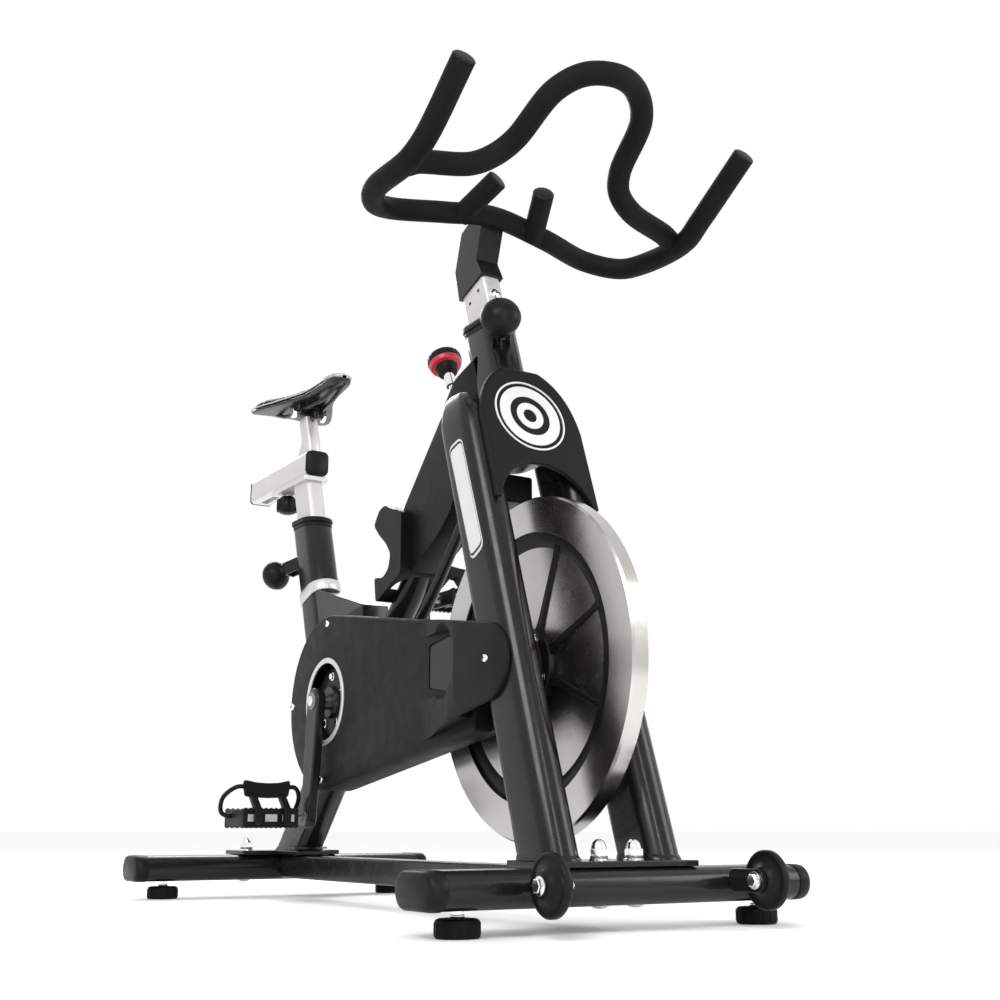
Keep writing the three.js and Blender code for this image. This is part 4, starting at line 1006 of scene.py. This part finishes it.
def make_saddle():
    top, low = (lambda t: between(SADDLE_TOP, t)), (lambda t: between(SADDLE_LOW, t))
    edge = lambda t: between(SADDLE_EDGE, t)
    pad = loft("saddle_pad", saddle_rings(top, lambda t: edge(t) - 1, -1.2), SEAT_SKIN, 180)
    inflate(pad)
    give(pad, "saddle_slider", "saddle")
    give(loft("saddle_shell_base", saddle_rings(lambda t: edge(t) + 2.5, low, 0), SEAT_BASE, 180),
         "saddle_slider")
    # painted highlight: a thin grey line swept round the saddle's side edge stands for the bright edge it
    # shows
    rim = []
    for s in (1, -1):
        side = [(s * (between(SADDLE_HALF, t) + 0.3), SADDLE_Y[0] + SADDLE_Y[1] * t,
                 edge(t) + 2.2 - 8 * (between(SADDLE_HALF, t) / 75) ** 2) for t in
                (0.5 - 0.5 * math.cos(math.pi * k / 40) for k in range(41))]
        rim += side if s > 0 else side[::-1]
    give(sweep("saddle_edge_highlight", rim, disc(1.3, 10), TRIM_AND_HIGHLIGHT, straight=True), "saddle_slider")
    cap = saddle_rings(lambda t: top(t) + 0.8, lambda t: edge(t) - 2.5, 0.9, 0.0, 0.15, 16)
    give(loft("saddle_nose_cap", cap, TRIM_AND_HIGHLIGHT, 60), "saddle_slider")


def inflate(obj):
    """fills the pad: remesh, a short pressure simulation with capped movement, then one subdivision"""
    skin = obj.modifiers.new("skin", "REMESH")
    skin.mode = "VOXEL"
    skin.voxel_size = 0.005
    graph = bpy.context.evaluated_depsgraph_get()
    base = bpy.data.meshes.new_from_object(obj.evaluated_get(graph))
    obj.modifiers.clear()
    obj.data = base
    start = [v.co.copy() for v in base.vertices]
    cloth = obj.modifiers.new("fill", "CLOTH")
    cloth.settings.use_pressure = True
    cloth.settings.uniform_pressure_force = 4
    cloth.settings.effector_weights.gravity = 0
    scene = bpy.context.scene
    for step in range(1, 21):
        scene.frame_set(step)
    graph = bpy.context.evaluated_depsgraph_get()
    final = bpy.data.meshes.new_from_object(obj.evaluated_get(graph))
    cap = 0.003
    for v, s in zip(final.vertices, start):
        move = v.co - s
        if move.length > cap:
            v.co = s + move.normalized() * cap
    obj.modifiers.clear()
    obj.data = final
    scene.frame_set(1)
    smooth = obj.modifiers.new("smooth", "SUBSURF")
    smooth.levels = smooth.render_levels = 1
    final.polygons.foreach_set("use_smooth", [True] * len(final.polygons))
    final.materials.clear()
    final.materials.append(SEAT_SKIN)


# ---------------------------------------------------------------- handlebar
BAR_LINE = mirrored([(216, -26, 974), (215, 65, 917), (218, 100, 902), (218, 193, 904), (202, 230, 906),
                     (161, 261, 920),
                     (81, 249, 930)], (0, 256, 947))
LOOP_LINE = mirrored([(210, 122, 907), (197, 119, 913), (128, 105, 924), (99, 94, 940), (83, 71, 956),
                      (68, 4, 995), (40, -24, 1012)], (0, -39, 1014))


def make_handlebar():
    neck = rounded([(259, post_joint(259)), (321, post_joint(321)), (333, 887), (316, 941), (296, 949),
                    (268, 955), (257, 944), (261, 927), (274, 886)], 1.0, 2)
    give(bevelled(slab("gooseneck_box", neck, -18, 18, PAINT), 2.2, 3, 20), "handlebar", "gooseneck")
    grip = disc(GRIP_R, 40)
    parts = [sweep("bar", BAR_LINE, grip, RUBBER, 14)]
    ends = [((s * 216, -26, 974), Vector((s, -91, 57))) for s in (-1, 1)]
    for s in (-1, 1):
        tip, root = Vector((s * 38, 186, 963)), Vector((s * 61, 248, 928))
        parts.append(sweep("stub", [root, tip], grip, RUBBER, straight=True))
        ends.append((tip, tip - root))
    give(join("bar_grip", *parts), "handlebar", "handlebar_bar")
    profile = [(-3, 13.6), (0.3, 14.2), (1.4, 13.6), (2.2, 11), (2.5, 0)]
    for i, (tip, way) in enumerate(ends):
        give(lathe(f"bar_plug_{i + 1}", profile, tip, way, PLASTIC, 40, 60), "handlebar")
    give(sweep("loop_grip", LOOP_LINE, grip, RUBBER, 14), "handlebar", "handlebar_loop")


# ---------------------------------------------------------------- brake
def make_brake():
    """the rod, shoe and knob, all turned about the rod's line and measured from the flywheel's axis"""
    reach = ROD_WAY.length
    at_rod = ((0, *AXLE), ROD_WAY)
    shaft = [(231.6, 4.2), (233, 5), (reach - 46, 5), (reach - 45, 8), (reach - 20, 8)]
    give(lathe("brake_shaft", shaft, *at_rod, CHROME, 28), "brake_rod", "brake_rod")
    shoe = [(219.6, 9.5), (220.6, 11), (230, 11), (231, 10)]
    give(lathe("brake_shoe", shoe, *at_rod, RUBBER, 36), "brake_pad", "brake_pad")
    knob = (("stem", [(-19.5, 13), (-18, 14.5), (-10, 15.5), (-7, 17)], PLASTIC, 40, 40),
            ("red", [(-7.5, 18), (-6, 22.4), (-1.5, 24.4), (0.5, 24.4)], RED, 48, 40),
            ("cap", [(0.5, 24.9), (8, 25), (12, 24), (13.6, 21), (14, 0)], PLASTIC, 48, 50))
    parts = [lathe(name, [(reach + t, r) for t, r in profile], *at_rod, mat, sides, sharp)
             for name, profile, mat, sides, sharp in knob]
    u, v, w = axes_for(ROD_WAY)
    for a in angles(20):
        spot = Vector((0, *AXLE)) + (u * math.cos(a) + v * math.sin(a)) * 24.4
        parts.append(lathe("rib", [(reach + 1.6, 1.0), (reach + 10, 1.0)], spot, ROD_WAY, PLASTIC, 8))
    give(join("resistance_dial", *parts), "resistance_knob", "resistance_knob")


# ---------------------------------------------------------------- stage, light and camera
def make_stage():
    mesh = bpy.data.meshes.new("floor")
    size = 80
    mesh.from_pydata([(-size, -size, 0), (size, -size, 0), (size, size, 0), (-size, size, 0)], [],
                     [(0, 1, 2, 3)])
    mesh.materials.append(finish("pale_floor", (0.93, 0.93, 0.935), 0.7, vary=0.01, grain=60,
                                 grain_depth=0.0001))
    link("floor", mesh)
    scene = bpy.context.scene
    scene.world = bpy.data.worlds.new("studio")
    scene.world.use_nodes = True
    feed(scene.world.node_tree, scene.world.node_tree.nodes["Background"], ("Color", (1, 1, 1, 1)),
         ("Strength", 1.0))
    target = Vector((0, -0.1, 0.5))
    for name, spot, power, wide, high in (("key", (-2.6, -2.2, 2.6), 90, 1.6, 1.6),
                                          ("fill", (2.8, -2.4, 1.8), 45, 1.4, 2.0),
                                          ("strip", (-0.5, -3.2, 1.1), 25, 0.25, 2.2),
                                          ("back", (0.8, 2.8, 2.4), 60, 2.0, 1.2)):
        data = bpy.data.lights.new(name, "AREA")
        data.shape = "RECTANGLE"
        data.size, data.size_y = wide, high
        data.energy = power
        lamp = link(name, data)
        lamp.location = spot
        lamp.rotation_euler = (target - Vector(spot)).to_track_quat("-Z", "Y").to_euler()
    scene.view_settings.view_transform = "Standard"
    data = bpy.data.cameras.new("camera")
    data.lens, data.sensor_width = 47.09, 36
    scene.camera = link("camera", data)
    scene.camera.location = (-0.89635, -1.67724, 0.10481)
    scene.camera.rotation_euler = (math.radians(104.17), 0, math.radians(-32.14))

make_stage()
make_base()
make_fork()
make_pin("handlebar_pull_knob", HEAD_PIN, HEAD_EAR, 70, 26, "handlebar_pin", "handlebar_pop_pin")
make_rear_frame()
make_pin("seat_pull_knob", SEAT_PIN, SEAT_EAR, 77, 24, "seat_pin", "seat_pop_pin")
make_covers()
make_rod_guide()
make_guard()
make_wheel()
make_drive()
make_cranks()
make_saddle_group()
make_handlebar()
make_brake()
